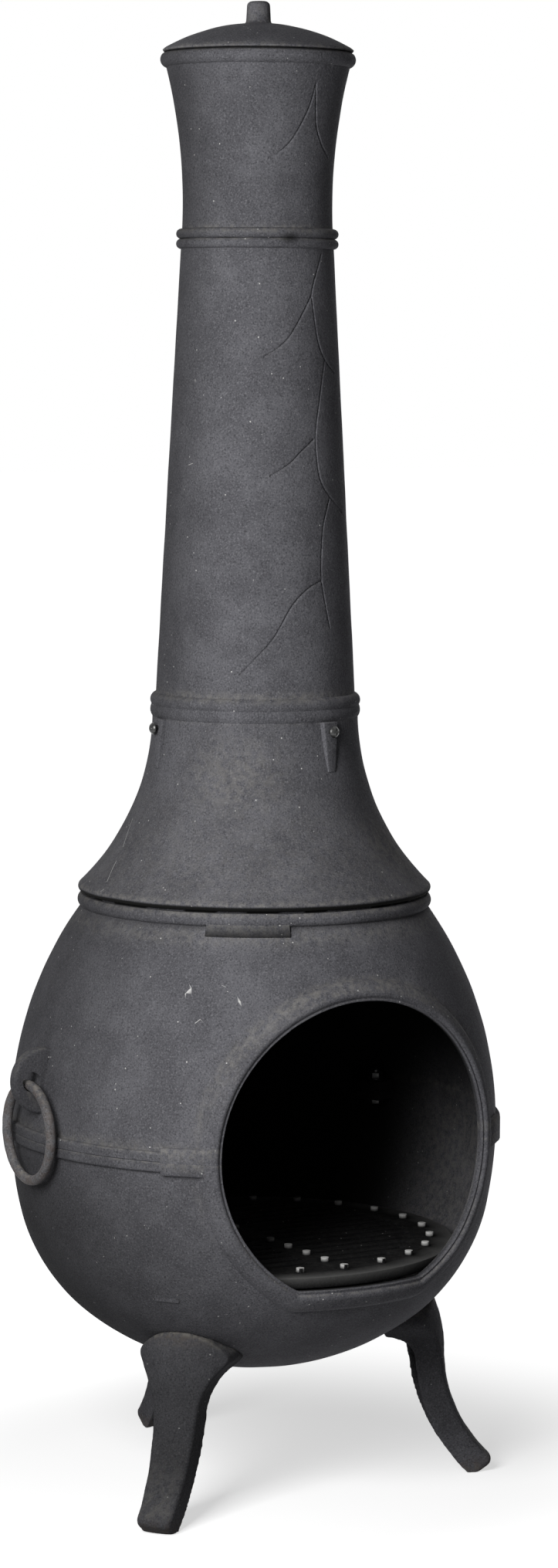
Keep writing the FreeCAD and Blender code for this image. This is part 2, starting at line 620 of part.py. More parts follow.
def upper_bowl():
    """The upper half of the belly with its lugs, rim pads and ears."""
    bounds = belly_fill(ROOT)
    lug_top = SEAM_HEIGHT + SEAM_LUG_HEIGHT
    lug = radial_block(SEAM_LUG_INNER, BELLY_RADIUS, SEAM_LUG_WIDTH, SEAM_HEIGHT, lug_top)
    hood_lug_top = HOOD_LUG_Z - HOOD_LUG_GAP
    hood_lug_low = hood_lug_top - HOOD_LUG_HEIGHT
    hood_lug_inner = HOOD_SPIGOT_BORE - HOOD_LUG_REACH
    hood_lug = radial_block(hood_lug_inner, RIM_RADIUS, HOOD_LUG_WIDTH, hood_lug_low, hood_lug_top)
    pieces = at_each(lug.common(bounds), SEAM_BOLT_BEARINGS)
    pieces += at_each(hood_lug.common(bounds), HOOD_BOLT_BEARINGS)
    pieces += at_each(rim_pad(), HOOD_BOLT_BEARINGS)
    pieces += at_each(ear(), [90, -90])
    pieces += at_each(above_seam(seam_pad()), [SEAM_PAD_BEARING, -SEAM_PAD_BEARING])
    pieces.append(mouth_collar(above_seam))
    bowl = upper_shell().multiFuse(pieces)
    cuts = [mouth_opening()]
    cuts += upright_holes(SEAM_BOLT_CIRCLE, SEAM_BOLT_BEARINGS, SEAM_HEIGHT, lug_top + ROOT)
    cuts += upright_holes(HOOD_BOLT_CIRCLE, HOOD_BOLT_BEARINGS, hood_lug_low, hood_lug_top)
    return bowl.cut(cuts).removeSplitter()


def hood():
    """The flared hood with its spigot, hold-down lugs and screw bosses."""
    spigot_foot = RIM_Z - HOOD_SPIGOT_DEPTH
    rim_face = (HOOD_FOOT_RADIUS + HOOD_RIM_PROUD, RIM_Z + HOOD_RIM_HEIGHT / 2)
    middle = (HOOD_FOOT_Z + NECK_Z) / 2
    bore_offset = NECK_RADIUS + HOOD_ARC - HOOD_SPIGOT_BORE
    flare_foot = HOOD_TANGENT_Z - arc_height(HOOD_ARC + HOOD_WALL, bore_offset)
    inner_middle = (flare_foot + NECK_Z) / 2
    outline = Outline(HOOD_SPIGOT_BORE, spigot_foot).line(HOOD_SPIGOT_RADIUS, spigot_foot)
    outline.line(HOOD_SPIGOT_RADIUS, RIM_Z).line(HOOD_FOOT_RADIUS, RIM_Z)
    outline.arc(rim_face, (HOOD_FOOT_RADIUS, HOOD_FOOT_Z))
    outline.arc((hood_radius(middle), middle), (hood_radius(NECK_Z), NECK_Z))
    outline.line(NECK_BORE, NECK_Z)
    outline.arc((hood_radius(inner_middle, HOOD_WALL), inner_middle), (HOOD_SPIGOT_BORE, flare_foot))
    shell = outline.turned()
    lug_inner = HOOD_SPIGOT_BORE - HOOD_LUG_REACH
    lug = radial_block(lug_inner, HOOD_SPIGOT_BORE + ROOT, HOOD_LUG_WIDTH, HOOD_LUG_Z, RIM_Z)
    boss_inner = NECK_BORE + HOOD_WALL / 2
    boss_foot = NECK_Z - NECK_BOSS_HEIGHT
    boss = radial_block(boss_inner, NECK_BOSS_FACE, NECK_BOSS_WIDTH, boss_foot, NECK_Z)
    void = Outline(0, flare_foot).line(HOOD_SPIGOT_BORE, flare_foot)
    void.arc((hood_radius(inner_middle, HOOD_WALL), inner_middle), (NECK_BORE, NECK_Z))
    boss = boss.cut(void.line(0, NECK_Z).turned())
    shell = shell.multiFuse(at_each(lug, HOOD_BOLT_BEARINGS) + at_each(boss, NECK_BEARINGS))
    hole_start = Vector(FLUE_SPIGOT_BORE, 0, NECK_SCREW_Z)
    hole_end = Vector(NECK_BOSS_FACE + ROOT, 0, NECK_SCREW_Z)
    screw_hole = rod(SCREW_RADIUS + SCREW_HOLE_CLEARANCE, hole_start, hole_end)
    cuts = upright_holes(HOOD_BOLT_CIRCLE, HOOD_BOLT_BEARINGS, HOOD_LUG_Z, RIM_Z)
    cuts += at_each(screw_hole, NECK_BEARINGS)
    return shell.cut(cuts).removeSplitter()


def neck_screw():
    """A dome-head set screw with a cross recess, drawn along +X with its tip at the flue's spigot."""
    head_foot = NECK_BOSS_FACE + SCREW_STANDOUT
    head_top = head_foot + SCREW_HEAD_HEIGHT
    tip = FLUE_SPIGOT_RADIUS + SCREW_TIP_GAP
    dome_radius = chord_radius(SCREW_HEAD_HEIGHT, SCREW_HEAD_RADIUS)
    halfway = SCREW_HEAD_RADIUS / 2
    dome_middle = (halfway, head_top - dome_radius + arc_height(dome_radius, halfway))
    outline = Outline(0, tip).line(SCREW_RADIUS, tip).line(SCREW_RADIUS, head_foot)
    outline.line(SCREW_HEAD_RADIUS, head_foot)
    screw = outline.arc(dome_middle, (0, head_top)).turned()
    length = SCREW_SLOT_LENGTH
    slot_corner = Vector(-length / 2, -SCREW_SLOT_WIDTH / 2, head_top - SCREW_SLOT_DEPTH)
    slot = Part.makeBox(length, SCREW_SLOT_WIDTH, SCREW_SLOT_DEPTH + ROOT, slot_corner)
    cross = slot.copy()
    cross.rotate(CENTRE, UP, 90)
    screw = screw.cut([slot, cross])
    screw.rotate(CENTRE, Vector(0, 1, 0), 90)
    screw.translate(Vector(0, 0, NECK_SCREW_Z))
    return screw


def lower_flue():
    """The long conical flue section with its spigot and beads."""
    foot = NECK_Z - FLUE_SPIGOT_DEPTH
    groove_z = NECK_Z + FOOT_BEAD_HEIGHT
    bead_radius = NECK_RADIUS + FOOT_BEAD_PROUD
    inner_foot = FLUE_FOOT_RADIUS - FLUE_WALL
    outline = Outline(FLUE_SPIGOT_BORE, foot).line(FLUE_SPIGOT_RADIUS, foot)
    outline.line(FLUE_SPIGOT_RADIUS, NECK_Z).line(NECK_RADIUS, NECK_Z)
    outline.arc((bead_radius, NECK_Z + FOOT_BEAD_HEIGHT / 2), (NECK_RADIUS + FOOT_GROOVE_PROUD, groove_z))
    outline.arc((bead_radius, groove_z + FOOT_BEAD_HEIGHT / 2), (FLUE_FOOT_RADIUS, FLUE_CONE_Z))
    outline.line(FLUE_TOP_RADIUS, JOINT_BEAD_Z)
    outline.arc((JOINT_RADIUS, JOINT_Z - JOINT_BEAD_HEIGHT / 2), (FLUE_TOP_RADIUS + JOINT_LIP, JOINT_Z))
    outline.line(JOINT_BORE, JOINT_Z).line(JOINT_BORE, JOINT_BEAD_Z)
    outline.line(inner_foot, FLUE_CONE_Z).line(FLUE_SPIGOT_BORE, NECK_Z)
    return outline.turned()


def upper_flue():
    """The short flared flue section with its spigot, bead and rolled rim."""
    foot = JOINT_Z - UPPER_SPIGOT_DEPTH
    bead_top = JOINT_Z + JOINT_BEAD_HEIGHT
    middle = (bead_top + FLARE_Z) / 2
    inner_middle = (bead_top + FLUE_TOP_Z) / 2
    outline = Outline(UPPER_SPIGOT_BORE, foot).line(UPPER_SPIGOT_RADIUS, foot)
    outline.line(UPPER_SPIGOT_RADIUS, JOINT_Z).line(FLUE_TOP_RADIUS + JOINT_LIP, JOINT_Z)
    outline.arc((JOINT_RADIUS, JOINT_Z + JOINT_BEAD_HEIGHT / 2), (upper_flue_radius(bead_top), bead_top))
    outline.arc((upper_flue_radius(middle), middle), (FLARE_RADIUS, FLARE_Z))
    outline.arc((TOP_RIM_RADIUS, FLARE_Z + TOP_RIM_HEIGHT / 2), (FLARE_RADIUS + TOP_RIM_LIP, FLUE_TOP_Z))
    outline.line(upper_flue_radius(FLUE_TOP_Z, FLUE_WALL), FLUE_TOP_Z)
    inner_foot = (upper_flue_radius(bead_top, FLUE_WALL), bead_top)
    outline.arc((upper_flue_radius(inner_middle, FLUE_WALL), inner_middle), inner_foot)
    outline.line(UPPER_SPIGOT_BORE, JOINT_Z)
    return outline.turned()


def lid():
    """The domed lid with its locating skirt and peg knob."""
    lip_z = LID_Z + LID_LIP
    dome = chord_radius(LID_RISE, LID_RADIUS)
    dome_z = lip_z + LID_RISE - dome
    skirt_bore = LID_SKIRT_RADIUS - LID_SKIRT_WALL
    skirt_foot = LID_Z - LID_SKIRT_DEPTH
    middle = (LID_RADIUS + KNOB_FOOT_RADIUS) / 2
    under = dome - LID_WALL
    knob_top = lip_z + LID_RISE + KNOB_HEIGHT
    round_z = knob_top - KNOB_ROUND
    round_x = KNOB_TOP_RADIUS - KNOB_ROUND
    slant = KNOB_ROUND * math.cos(math.pi / 4)
    outline = Outline(skirt_bore, skirt_foot).line(LID_SKIRT_RADIUS, skirt_foot)
    outline.line(LID_SKIRT_RADIUS, LID_Z).line(LID_RADIUS, LID_Z).line(LID_RADIUS, lip_z)
    outline.arc(
        (middle, dome_z + arc_height(dome, middle)),
        (KNOB_FOOT_RADIUS, dome_z + arc_height(dome, KNOB_FOOT_RADIUS)),
    )
    outline.line(KNOB_TOP_RADIUS, round_z)
    outline.arc((round_x + slant, round_z + slant), (round_x, knob_top)).line(0, knob_top)
    outline.line(0, dome_z + under)
    outline.arc(
        (skirt_bore / 2, dome_z + arc_height(under, skirt_bore / 2)),
        (skirt_bore, dome_z + arc_height(under, skirt_bore)),
    )
    return outline.turned()


def grate():
    """The loose grate: a rimmed plate with slots on each side of a spine, and raised studs."""
    rim_inner = GRATE_RADIUS - GRATE_RIM_WIDTH
    plate_foot = GRATE_TOP_Z - GRATE_PLATE
    outline = Outline(0, plate_foot).line(rim_inner, plate_foot).line(rim_inner, GRATE_FOOT_Z)
    outline.line(GRATE_RADIUS, GRATE_FOOT_Z).line(GRATE_RADIUS, GRATE_TOP_Z)
    plate = outline.line(0, GRATE_TOP_Z).turned()
    reach = GRATE_RADIUS - GRATE_BAND
    half = SLOT_WIDTH / 2
    rows = int((reach - SLOT_WIDTH) / SLOT_PITCH)
    slots = []
    for row in range(-rows, rows + 1):
        y = row * SLOT_PITCH
        inner = GRATE_SPINE_WIDTH / 2 + half
        outer = arc_height(reach, abs(y) + half) - half
        if outer - inner < SLOT_WIDTH:
            continue
        for side in (-1, 1):
            start = Vector(min(side * inner, side * outer), y - half, plate_foot)
            slots.append(Part.makeBox(outer - inner, SLOT_WIDTH, GRATE_PLATE, start))
            slots.append(Part.makeCylinder(half, GRATE_PLATE, Vector(side * inner, y, plate_foot)))
            slots.append(Part.makeCylinder(half, GRATE_PLATE, Vector(side * outer, y, plate_foot)))
    plate = plate.cut(slots)
    stud = Part.makeCylinder(STUD_RADIUS, STUD_HEIGHT + ROOT, Vector(0, 0, GRATE_TOP_Z - ROOT))
    ring = stud.copy()
    ring_radius = GRATE_RADIUS - STUD_EDGE
    ring.translate(Vector(ring_radius, 0, 0))
    studs = at_each(ring, [n * STUD_SPACING for n in range(round(360 / STUD_SPACING))])
    along = SPINE_STUD_PITCH
    while along < ring_radius - SPINE_STUD_PITCH / 2:
        for side in (-1, 1):
            spot = stud.copy()
            spot.translate(Vector(0, side * along, 0))
            studs.append(spot)
        along += SPINE_STUD_PITCH
    return plate.multiFuse(studs).removeSplitter()


LEG_TOP_Z = SEAM_HEIGHT - LEG_TOP_DROP
LEG_KNEE_Z = SEAM_HEIGHT - LEG_KNEE_DROP
LEG_CUT_Z = LEG_TOP_Z + LEG_SEAT_WALL
LEG_TOP_RADIUS = lower_belly_radius(LEG_TOP_Z) + LEG_TOP_LIP
LEG_KNEE_RADIUS = LEG_TOP_RADIUS + LEG_KNEE_STEP
TOE_RADIUS = LEG_KNEE_RADIUS + TOE_REACH
SHIN_ARC = chord_radius(TOE_REACH, LEG_KNEE_Z - TOE_HEIGHT)
SHOULDER_ARC = chord_radius(LEG_KNEE_STEP, LEG_TOP_Z - LEG_KNEE_Z)


def leg_face_radius(z, inset=0.0):
    """Radius of the leg's front face at a height, at a depth inside it."""
    if z >= LEG_KNEE_Z:
        return LEG_KNEE_RADIUS - SHOULDER_ARC + arc_height(SHOULDER_ARC - inset, z - LEG_KNEE_Z)
    return LEG_KNEE_RADIUS + SHIN_ARC - arc_height(SHIN_ARC + inset, LEG_KNEE_Z - z)


def leg_face_outline(inset):
    """An outline that starts down the leg's front face, at a depth inside it, as far as the toe."""
    shoulder_z = (LEG_KNEE_Z + LEG_CUT_Z) / 2
    shin_z = (LEG_KNEE_Z + TOE_HEIGHT) / 2
    outline = Outline(leg_face_radius(LEG_CUT_Z, inset), LEG_CUT_Z)
    knee = (leg_face_radius(LEG_KNEE_Z, inset), LEG_KNEE_Z)
    toe = (leg_face_radius(TOE_HEIGHT, inset), TOE_HEIGHT)
    outline.arc((leg_face_radius(shoulder_z, inset), shoulder_z), knee)
    outline.arc((leg_face_radius(shin_z, inset), shin_z), toe)
    return outline


def leg_side():
    """The leg's outline seen from the side, run up into the belly and down past the sole."""
    gusset_z = LEG_KNEE_Z - LEG_GUSSET_DROP
    shank_back = leg_face_radius(gusset_z, LEG_DEPTH)
    gusset_x = shank_back - LEG_GUSSET_RADIUS
    back_z = gusset_z / 2
    slant = LEG_GUSSET_RADIUS * math.cos(math.pi / 4)
    outline = leg_face_outline(0)
    heel = leg_face_radius(0, LEG_DEPTH)
    outline.arc((TOE_RADIUS + TOE_NOSE, TOE_NOSE_HEIGHT), (TOE_RADIUS, TOE_LIFT))
    outline.line(heel + SOLE_LENGTH, 0).line(heel + SOLE_LENGTH, -SOLE_SPARE)
    outline.line(heel, -SOLE_SPARE).line(heel, 0)
    outline.arc((leg_face_radius(back_z, LEG_DEPTH), back_z), (shank_back, gusset_z))
    outline.arc((gusset_x + slant, gusset_z + slant), (gusset_x, gusset_z + LEG_GUSSET_RADIUS))
    return outline.line(gusset_x, LEG_CUT_Z).face()


def leg_hollow_side():
    """The outline of the channel inside the leg seen from the side, open at the back."""
    toe = leg_face_radius(TOE_HEIGHT, LEG_WALL)
    back = LEG_KNEE_RADIUS - 2 * LEG_DEPTH - LEG_GUSSET_RADIUS
    outline = leg_face_outline(LEG_WALL).line(toe, SOLE_THICKNESS).line(back, SOLE_THICKNESS)
    return outline.line(back, LEG_CUT_Z).face()


def leg_front(margin):
    """A long prism of the leg's shape seen from the front, narrowed by a margin all round."""
    shank_z = SEAM_HEIGHT - LEG_FLARE_DROP
    rim_z = SEAM_HEIGHT - LEG_RIM_DROP
    middle_z = (shank_z + rim_z) / 2
    toe = LEG_TOE_WIDTH / 2 - margin
    shank = LEG_SHANK_WIDTH / 2 - margin
    rim = LEG_RIM_WIDTH / 2 - margin
    flare = chord_radius(rim - shank, rim_z - shank_z)
    middle = shank + flare - arc_height(flare, middle_z - shank_z)
    outline = Outline(-toe, 0).line(toe, 0).line(shank, shank_z)
    outline.arc((middle, middle_z), (rim, rim_z)).arc((0, LEG_TOP_Z - margin), (-rim, rim_z))
    outline.arc((-middle, middle_z), (-shank, shank_z))
    prism = outline.face().extrude(Vector(0, 2 * TOE_RADIUS, 0))
    prism.rotate(CENTRE, UP, -90)
    return prism


def leg_prism(side, front):
    """The solid with the two outlines, its front face rounded from side to side."""
    reach = LEG_RIM_WIDTH / 2 + LEG_WALL
    sections = []
    for share in (-1, -0.5, 0, 0.5, 1):
        across = share * reach
        section = side.OuterWire.copy()
        section.translate(Vector(-across ** 2 / (2 * LEG_FACE_ROUND), across, 0))
        sections.append(section)
    return Part.makeLoft(sections, True).common(front)


def at_leg_rim(edge):
    """Whether an edge of the leg's block runs back from an end of the shoulder's arch."""
    point = edge.valueAt((edge.FirstParameter + edge.LastParameter) / 2)
    beside = abs(abs(point.y) - LEG_RIM_WIDTH / 2) < TOLERANCE
    return beside and abs(point.z - SEAM_HEIGHT + LEG_RIM_DROP) < TOLERANCE


def on_leg_face(edge):
    """Whether an edge of the leg's block goes round the border of its front face."""
    point = edge.valueAt((edge.FirstParameter + edge.LastParameter) / 2)
    border = abs(point.y) > TOLERANCE or point.z > LEG_TOP_Z - TOLERANCE
    face = leg_face_radius(point.z) - point.y ** 2 / (2 * LEG_FACE_ROUND)
    return border and point.z > TOE_HEIGHT + TOLERANCE and abs(point.x - face) < LEG_EDGE_ROUND / 10


def leg():
    """A channel-section cabriole leg with a seat against the belly, drawn along +X."""
    block = leg_prism(leg_side(), leg_front(0))
    block = block.makeFillet(LEG_RIM_ROUND, [edge for edge in block.Edges if at_leg_rim(edge)])
    block = block.makeFillet(LEG_EDGE_ROUND, [edge for edge in block.Edges if on_leg_face(edge)])
    boss = rod(BOLT_BOSS_RADIUS, along_leg_bolt(-BELLY_WALL), along_leg_bolt(LEG_BOSS_LENGTH))
    seat = belly_fill(-LEG_SEAT_GAP - LEG_SEAT_WALL)
    hollow = leg_prism(leg_hollow_side(), leg_front(LEG_WALL)).cut([seat, boss])
    hole = rod(HOLE_RADIUS, along_leg_bolt(-BELLY_WALL), along_leg_bolt(2 * LEG_BOSS_LENGTH))
    return block.cut([hollow, belly_fill(-LEG_SEAT_GAP), hole]).removeSplitter()


def ring():
    """A carrying ring that hangs in the ear's eye, drawn along +X."""
    centre = Vector(EYE_X, 0, RING_PIVOT_Z - RING_RADIUS)
    return Part.makeTorus(RING_RADIUS, RING_BAR_RADIUS, centre, Vector(1, 0, 0))


def upright_set(shape, circle, bearings, height):
    """A fastener drawn up from the origin, repeated on a circle about the axis at a height."""
    placed = shape.copy()
    placed.translate(Vector(circle, 0, height))
    return Part.makeCompound(at_each(placed, bearings))


def leg_set(shape, distance):
    """A fastener drawn up from the origin, repeated on each leg's bolt axis."""
    return Part.makeCompound(at_each(on_leg_bolt(shape, distance), LEG_BEARINGS.values()))


def fasteners():
    """The bolts, nuts, washers and screws, each kind as one group of separate solids."""
    seam_grip = 2 * SEAM_LUG_HEIGHT
    seam_top = SEAM_HEIGHT + SEAM_LUG_HEIGHT
    seam_foot = SEAM_HEIGHT - SEAM_LUG_HEIGHT
    hood_foot = HOOD_LUG_Z - HOOD_LUG_GAP - HOOD_LUG_HEIGHT
    leg_head = -BELLY_WALL - BOLT_BOSS_RISE
    leg_nut = LEG_BOSS_LENGTH + WASHER_HEIGHT
    seam_bolt = hex_bolt(seam_grip + WASHER_HEIGHT)
    hood_bolt = hex_bolt(RIM_Z - hood_foot)
    return {
        "seam_bolts": upright_set(seam_bolt, SEAM_BOLT_CIRCLE, SEAM_BOLT_BEARINGS, seam_foot),
        "seam_washers": upright_set(washer(), SEAM_BOLT_CIRCLE, SEAM_BOLT_BEARINGS, seam_top),
        "seam_nuts": upright_set(hex_nut(), SEAM_BOLT_CIRCLE, SEAM_BOLT_BEARINGS, seam_top + WASHER_HEIGHT),
        "hood_bolts": upright_set(hood_bolt, HOOD_BOLT_CIRCLE, HOOD_BOLT_BEARINGS, hood_foot),
        "hood_nuts": upright_set(hex_nut(), HOOD_BOLT_CIRCLE, HOOD_BOLT_BEARINGS, RIM_Z),
        "leg_bolts": leg_set(hex_bolt(leg_nut - leg_head), leg_head),
        "leg_washers": leg_set(washer(), LEG_BOSS_LENGTH),
        "leg_nuts": leg_set(hex_nut(), leg_nut),
        "neck_screws": Part.makeCompound(at_each(neck_screw(), NECK_BEARINGS)),
    }


# How far the part's middle lies behind the flue's axis
FRONT_REACH = lower_belly_radius(SILL_Z - COLLAR_LIP_WIDTH, -COLLAR_PROUD)
BACK_REACH = max(BEAD_FACE, TOE_RADIUS + TOE_NOSE)
MIDDLE = Vector(0, (BACK_REACH - FRONT_REACH) / 2, 0)


def pieces():
    """Every piece of the fireplace by its name."""
    made = {
        "lower_bowl": lower_bowl(),
        "upper_bowl": upper_bowl(),
        "hood": hood(),
        "lower_flue": lower_flue(),
        "upper_flue": upper_flue(),
        "lid": lid(),
        "grate": grate(),
        "ring_left": at_bearing(ring(), -90),
        "ring_right": at_bearing(ring(), 90),
    }
    one_leg = leg()
    for name, bearing in LEG_BEARINGS.items():
        made[name] = at_bearing(one_leg, bearing)
    made.update(fasteners())
    return made


os.makedirs("parts", exist_ok=True)
for piece_name, piece in pieces().items():
    piece.translate(-MIDDLE)
    piece.exportStep("parts/" + piece_name + ".step")
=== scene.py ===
"""Looks of a cast-iron garden fireplace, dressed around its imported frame.

Shapes are drawn in millimetres about the flue's axis, and a finished mesh is brought to metres in
the frame. A bearing is an angle in degrees about that axis, from the mouth's side towards +X.
"""

import logging
import math
from collections.abc import Callable, Iterable, Sequence
from dataclasses import dataclass
from enum import Enum

import bmesh
import bpy
from bmesh.types import BMEdge, BMesh, BMVert
from mathutils import Matrix, Vector, noise
from mathutils.geometry import interpolate_bezier
from mathutils.kdtree import KDTree


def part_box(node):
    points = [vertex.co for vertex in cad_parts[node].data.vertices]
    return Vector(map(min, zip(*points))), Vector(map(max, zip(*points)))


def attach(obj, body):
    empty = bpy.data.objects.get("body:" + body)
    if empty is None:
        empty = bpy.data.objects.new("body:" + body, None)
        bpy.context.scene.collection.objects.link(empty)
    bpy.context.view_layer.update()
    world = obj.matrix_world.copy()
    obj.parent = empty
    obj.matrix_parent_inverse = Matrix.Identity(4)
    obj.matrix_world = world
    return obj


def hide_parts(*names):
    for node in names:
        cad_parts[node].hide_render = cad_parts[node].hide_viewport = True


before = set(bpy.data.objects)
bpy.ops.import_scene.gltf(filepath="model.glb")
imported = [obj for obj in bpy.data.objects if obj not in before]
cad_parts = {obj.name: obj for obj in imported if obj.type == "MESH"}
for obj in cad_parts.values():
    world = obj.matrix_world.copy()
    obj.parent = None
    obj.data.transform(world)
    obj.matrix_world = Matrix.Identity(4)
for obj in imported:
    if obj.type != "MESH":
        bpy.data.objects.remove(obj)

LOG = logging.getLogger("fireplace")
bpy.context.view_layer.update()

Point = tuple[float, float]
Colour = tuple[float, float, float]
Share = Callable[[Vector, Vector], float]
Socket = bpy.types.NodeSocket

MM = 0.001
MERGE = 0.002
FLUE_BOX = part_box("lower_flue")
AXIS = Vector(((FLUE_BOX[0].x + FLUE_BOX[1].x) / 2, (FLUE_BOX[0].y + FLUE_BOX[1].y) / 2, 0.0))
TO_FRAME = Matrix.Translation(AXIS) @ Matrix.Scale(MM, 4)
LEG_BEARINGS = {"leg_front_left": -53.0, "leg_front_right": 68.0, "leg_back": 176.0}


class Body(Enum):
    """Bodies of the frame that pieces ride on."""

    STOVE = "stove"
    LID = "lid"
    GRATE = "grate"
    RING_LEFT = "ring_left"
    RING_RIGHT = "ring_right"


class Slot(Enum):
    """Material slots of the record."""

    STOVE = "stove_iron"
    GRATE = "grate_iron"
    RING = "ring_iron"
    BOLT = "bolt_steel"
    SCREW = "screw_steel"


class Way(Enum):
    """Ways to combine one closed piece with another."""

    UNITE = "UNION"
    CUT = "DIFFERENCE"


class Tone(Enum):
    """Painted shares that the finishes read from a mesh."""

    # the dust share also carries painted highlights on the hood and painted light on the belly's inner wall
    DUST_AND_SHEEN = "dust"
    # the soot share also carries painted shade under beads and the lid, on left flanks and on the legs
    SOOT_AND_SHADE = "soot"
    RUST = "rust"
    # the wear share also carries near-white painted highlights on the grate's stud tops
    WEAR_AND_GLINT = "wear"


def ease(low: float, high: float, value: float) -> float:
    """Rise smoothly from 0 at a low value to 1 at a high one.

    Args:
        low: Value that gives 0.
        high: Value that gives 1, above or below the low one.
        value: Value to place between them.

    Returns:
        The share between 0 and 1.
    """
    share = min(max((value - low) / (high - low), 0.0), 1.0)
    return share * share * (3.0 - 2.0 * share)


def band(middle: float, half: float, value: float) -> float:
    """Give 1 at the middle of a band, falling to 0 at its edges."""
    return 1.0 - ease(0.0, half, abs(value - middle))


def left_side_shade(place: Vector) -> float:
    """Share of painted shade on the flank left of the mouth, fading out behind."""
    bearing = bearing_of(place)
    return 0.5 * ease(-38.0, -100.0, bearing) * ease(-178.0, -130.0, bearing)


def reach(place: Vector) -> float:
    """Give a point's distance from the flue's axis."""
    return math.hypot(place.x, place.y)


def bearing_of(place: Vector) -> float:
    """Give a point's bearing about the flue's axis."""
    return math.degrees(math.atan2(place.x, -place.y))


def cut_off(mesh: BMesh, place: Vector, normal: Vector) -> BMesh:
    """Cut off the stretch of a closed mesh that lies behind a plane, and close the cut.

    Args:
        mesh: Mesh to cut.
        place: A point of the plane.
        normal: Direction of the stretch that is kept.

    Returns:
        The same mesh.
    """
    cut = bmesh.ops.bisect_plane(
        mesh,
        geom=mesh.verts[:] + mesh.edges[:] + mesh.faces[:],
        plane_co=place,
        plane_no=normal,
        clear_inner=True,
    )
    rims = [item for item in cut["geom_cut"] if isinstance(item, BMEdge)]
    bmesh.ops.holes_fill(mesh, edges=rims, sides=0)
    bmesh.ops.recalc_face_normals(mesh, faces=mesh.faces)
    return mesh


def at_bearing(radius: float, bearing: float, height: float) -> Vector:
    """Give the point at a radius, bearing and height."""
    turn = math.radians(bearing)
    return Vector((radius * math.sin(turn), -radius * math.cos(turn), height))


def turned_to(bearing: float) -> Matrix:
    """Give the turn that takes a shape drawn along +X to a bearing."""
    return Matrix.Rotation(math.radians(bearing - 90.0), 4, "Z")


def arc_through(start: Point, middle: Point, end: Point) -> tuple[Point, float]:
    """Find the arc through three points.

    Args:
        start: First point.
        middle: Point on the arc between the ends.
        end: Last point.

    Returns:
        The arc's centre, and its sweep in degrees, positive from the level towards the top.
    """
    (ax, ay), (bx, by), (cx, cy) = start, middle, end
    twist = 2.0 * (ax * (by - cy) + bx * (cy - ay) + cx * (ay - by))
    a, b, c = ax * ax + ay * ay, bx * bx + by * by, cx * cx + cy * cy
    ux = (a * (by - cy) + b * (cy - ay) + c * (ay - by)) / twist
    uy = (a * (cx - bx) + b * (ax - cx) + c * (bx - ax)) / twist
    sweep = (math.atan2(cy - uy, cx - ux) - math.atan2(ay - uy, ax - ux)) % math.tau
    if twist < 0.0:
        sweep -= math.tau
    return (ux, uy), math.degrees(sweep)


class Outline:
    """An outline in the plane of the axis, drawn from point to point as (radius, height)."""

    def __init__(self, radius: float, height: float) -> None:
        """Start the outline at a point."""
        self.mesh = bmesh.new()
        self.first = self.mesh.verts.new((radius, 0.0, height))
        self.tip = self.first

    def line(self, radius: float, height: float, parts: int = 1) -> "Outline":
        """Draw a straight run.

        Args:
            radius: Radius of its end.
            height: Height of its end.
            parts: Number of edges in the run.

        Returns:
            The outline itself.
        """
        step = (Vector((radius, 0.0, height)) - self.tip.co) / parts
        for _ in range(parts):
            there = self.tip.co + step
            self.tip = bmesh.ops.extrude_vert_indiv(self.mesh, verts=[self.tip])["verts"][0]
            self.tip.co = there
        return self

    def swing(self, centre: Point, degrees: float, parts: int) -> "Outline":
        """Draw an arc about a centre.

        Args:
            centre: The arc's centre.
            degrees: Sweep, positive from the level towards the top.
            parts: Number of edges in the arc.

        Returns:
            The outline itself.
        """
        made = bmesh.ops.spin(
            self.mesh,
            geom=[self.tip],
            cent=(centre[0], 0.0, centre[1]),
            axis=(0.0, -1.0, 0.0),
            angle=math.radians(degrees),
            steps=parts,
        )
        self.tip = next(item for item in made["geom_last"] if isinstance(item, BMVert))
        return self

    def arc(self, middle: Point, end: Point, parts: int) -> "Outline":
        """Draw an arc through a point to an end.

        Args:
            middle: Point on the arc.
            end: The arc's end.
            parts: Number of edges in the arc.

        Returns:
            The outline itself.
        """
        centre, degrees = arc_through((self.tip.co.x, self.tip.co.z), middle, end)
        return self.swing(centre, degrees, parts)

    def closed(self) -> BMesh:
        """Join the outline's end to its start and give its mesh."""
        if (self.tip.co - self.first.co).length > MERGE:
            self.mesh.edges.new((self.tip, self.first))
        bmesh.ops.remove_doubles(self.mesh, verts=self.mesh.verts, dist=MERGE)
        return self.mesh

    def turned(self, segments: int) -> "Casting":
        """Spin the outline round the flue's axis into a closed skin.

        Args:
            segments: Number of steps round the axis.

        Returns:
            The turned casting.
        """
        if self.tip.co.x > MERGE:
            self.closed()
        return Casting(spun(self.mesh, Vector((0.0, 0.0, 1.0)), segments))

    def prism(self, depth: float) -> BMesh:
        """Fill the outline and run it along Y.

        Args:
            depth: Length of the run, negative towards the mouth's side.

        Returns:
            The closed prism.
        """
        mesh = self.closed()
        face = bmesh.ops.contextual_create(mesh, geom=mesh.edges[:])["faces"]
        made = bmesh.ops.extrude_face_region(mesh, geom=face)["geom"]
        moved = [item for item in made if isinstance(item, BMVert)]
        bmesh.ops.translate(mesh, verts=moved, vec=(0.0, depth, 0.0))
        bmesh.ops.recalc_face_normals(mesh, faces=mesh.faces)
        return mesh


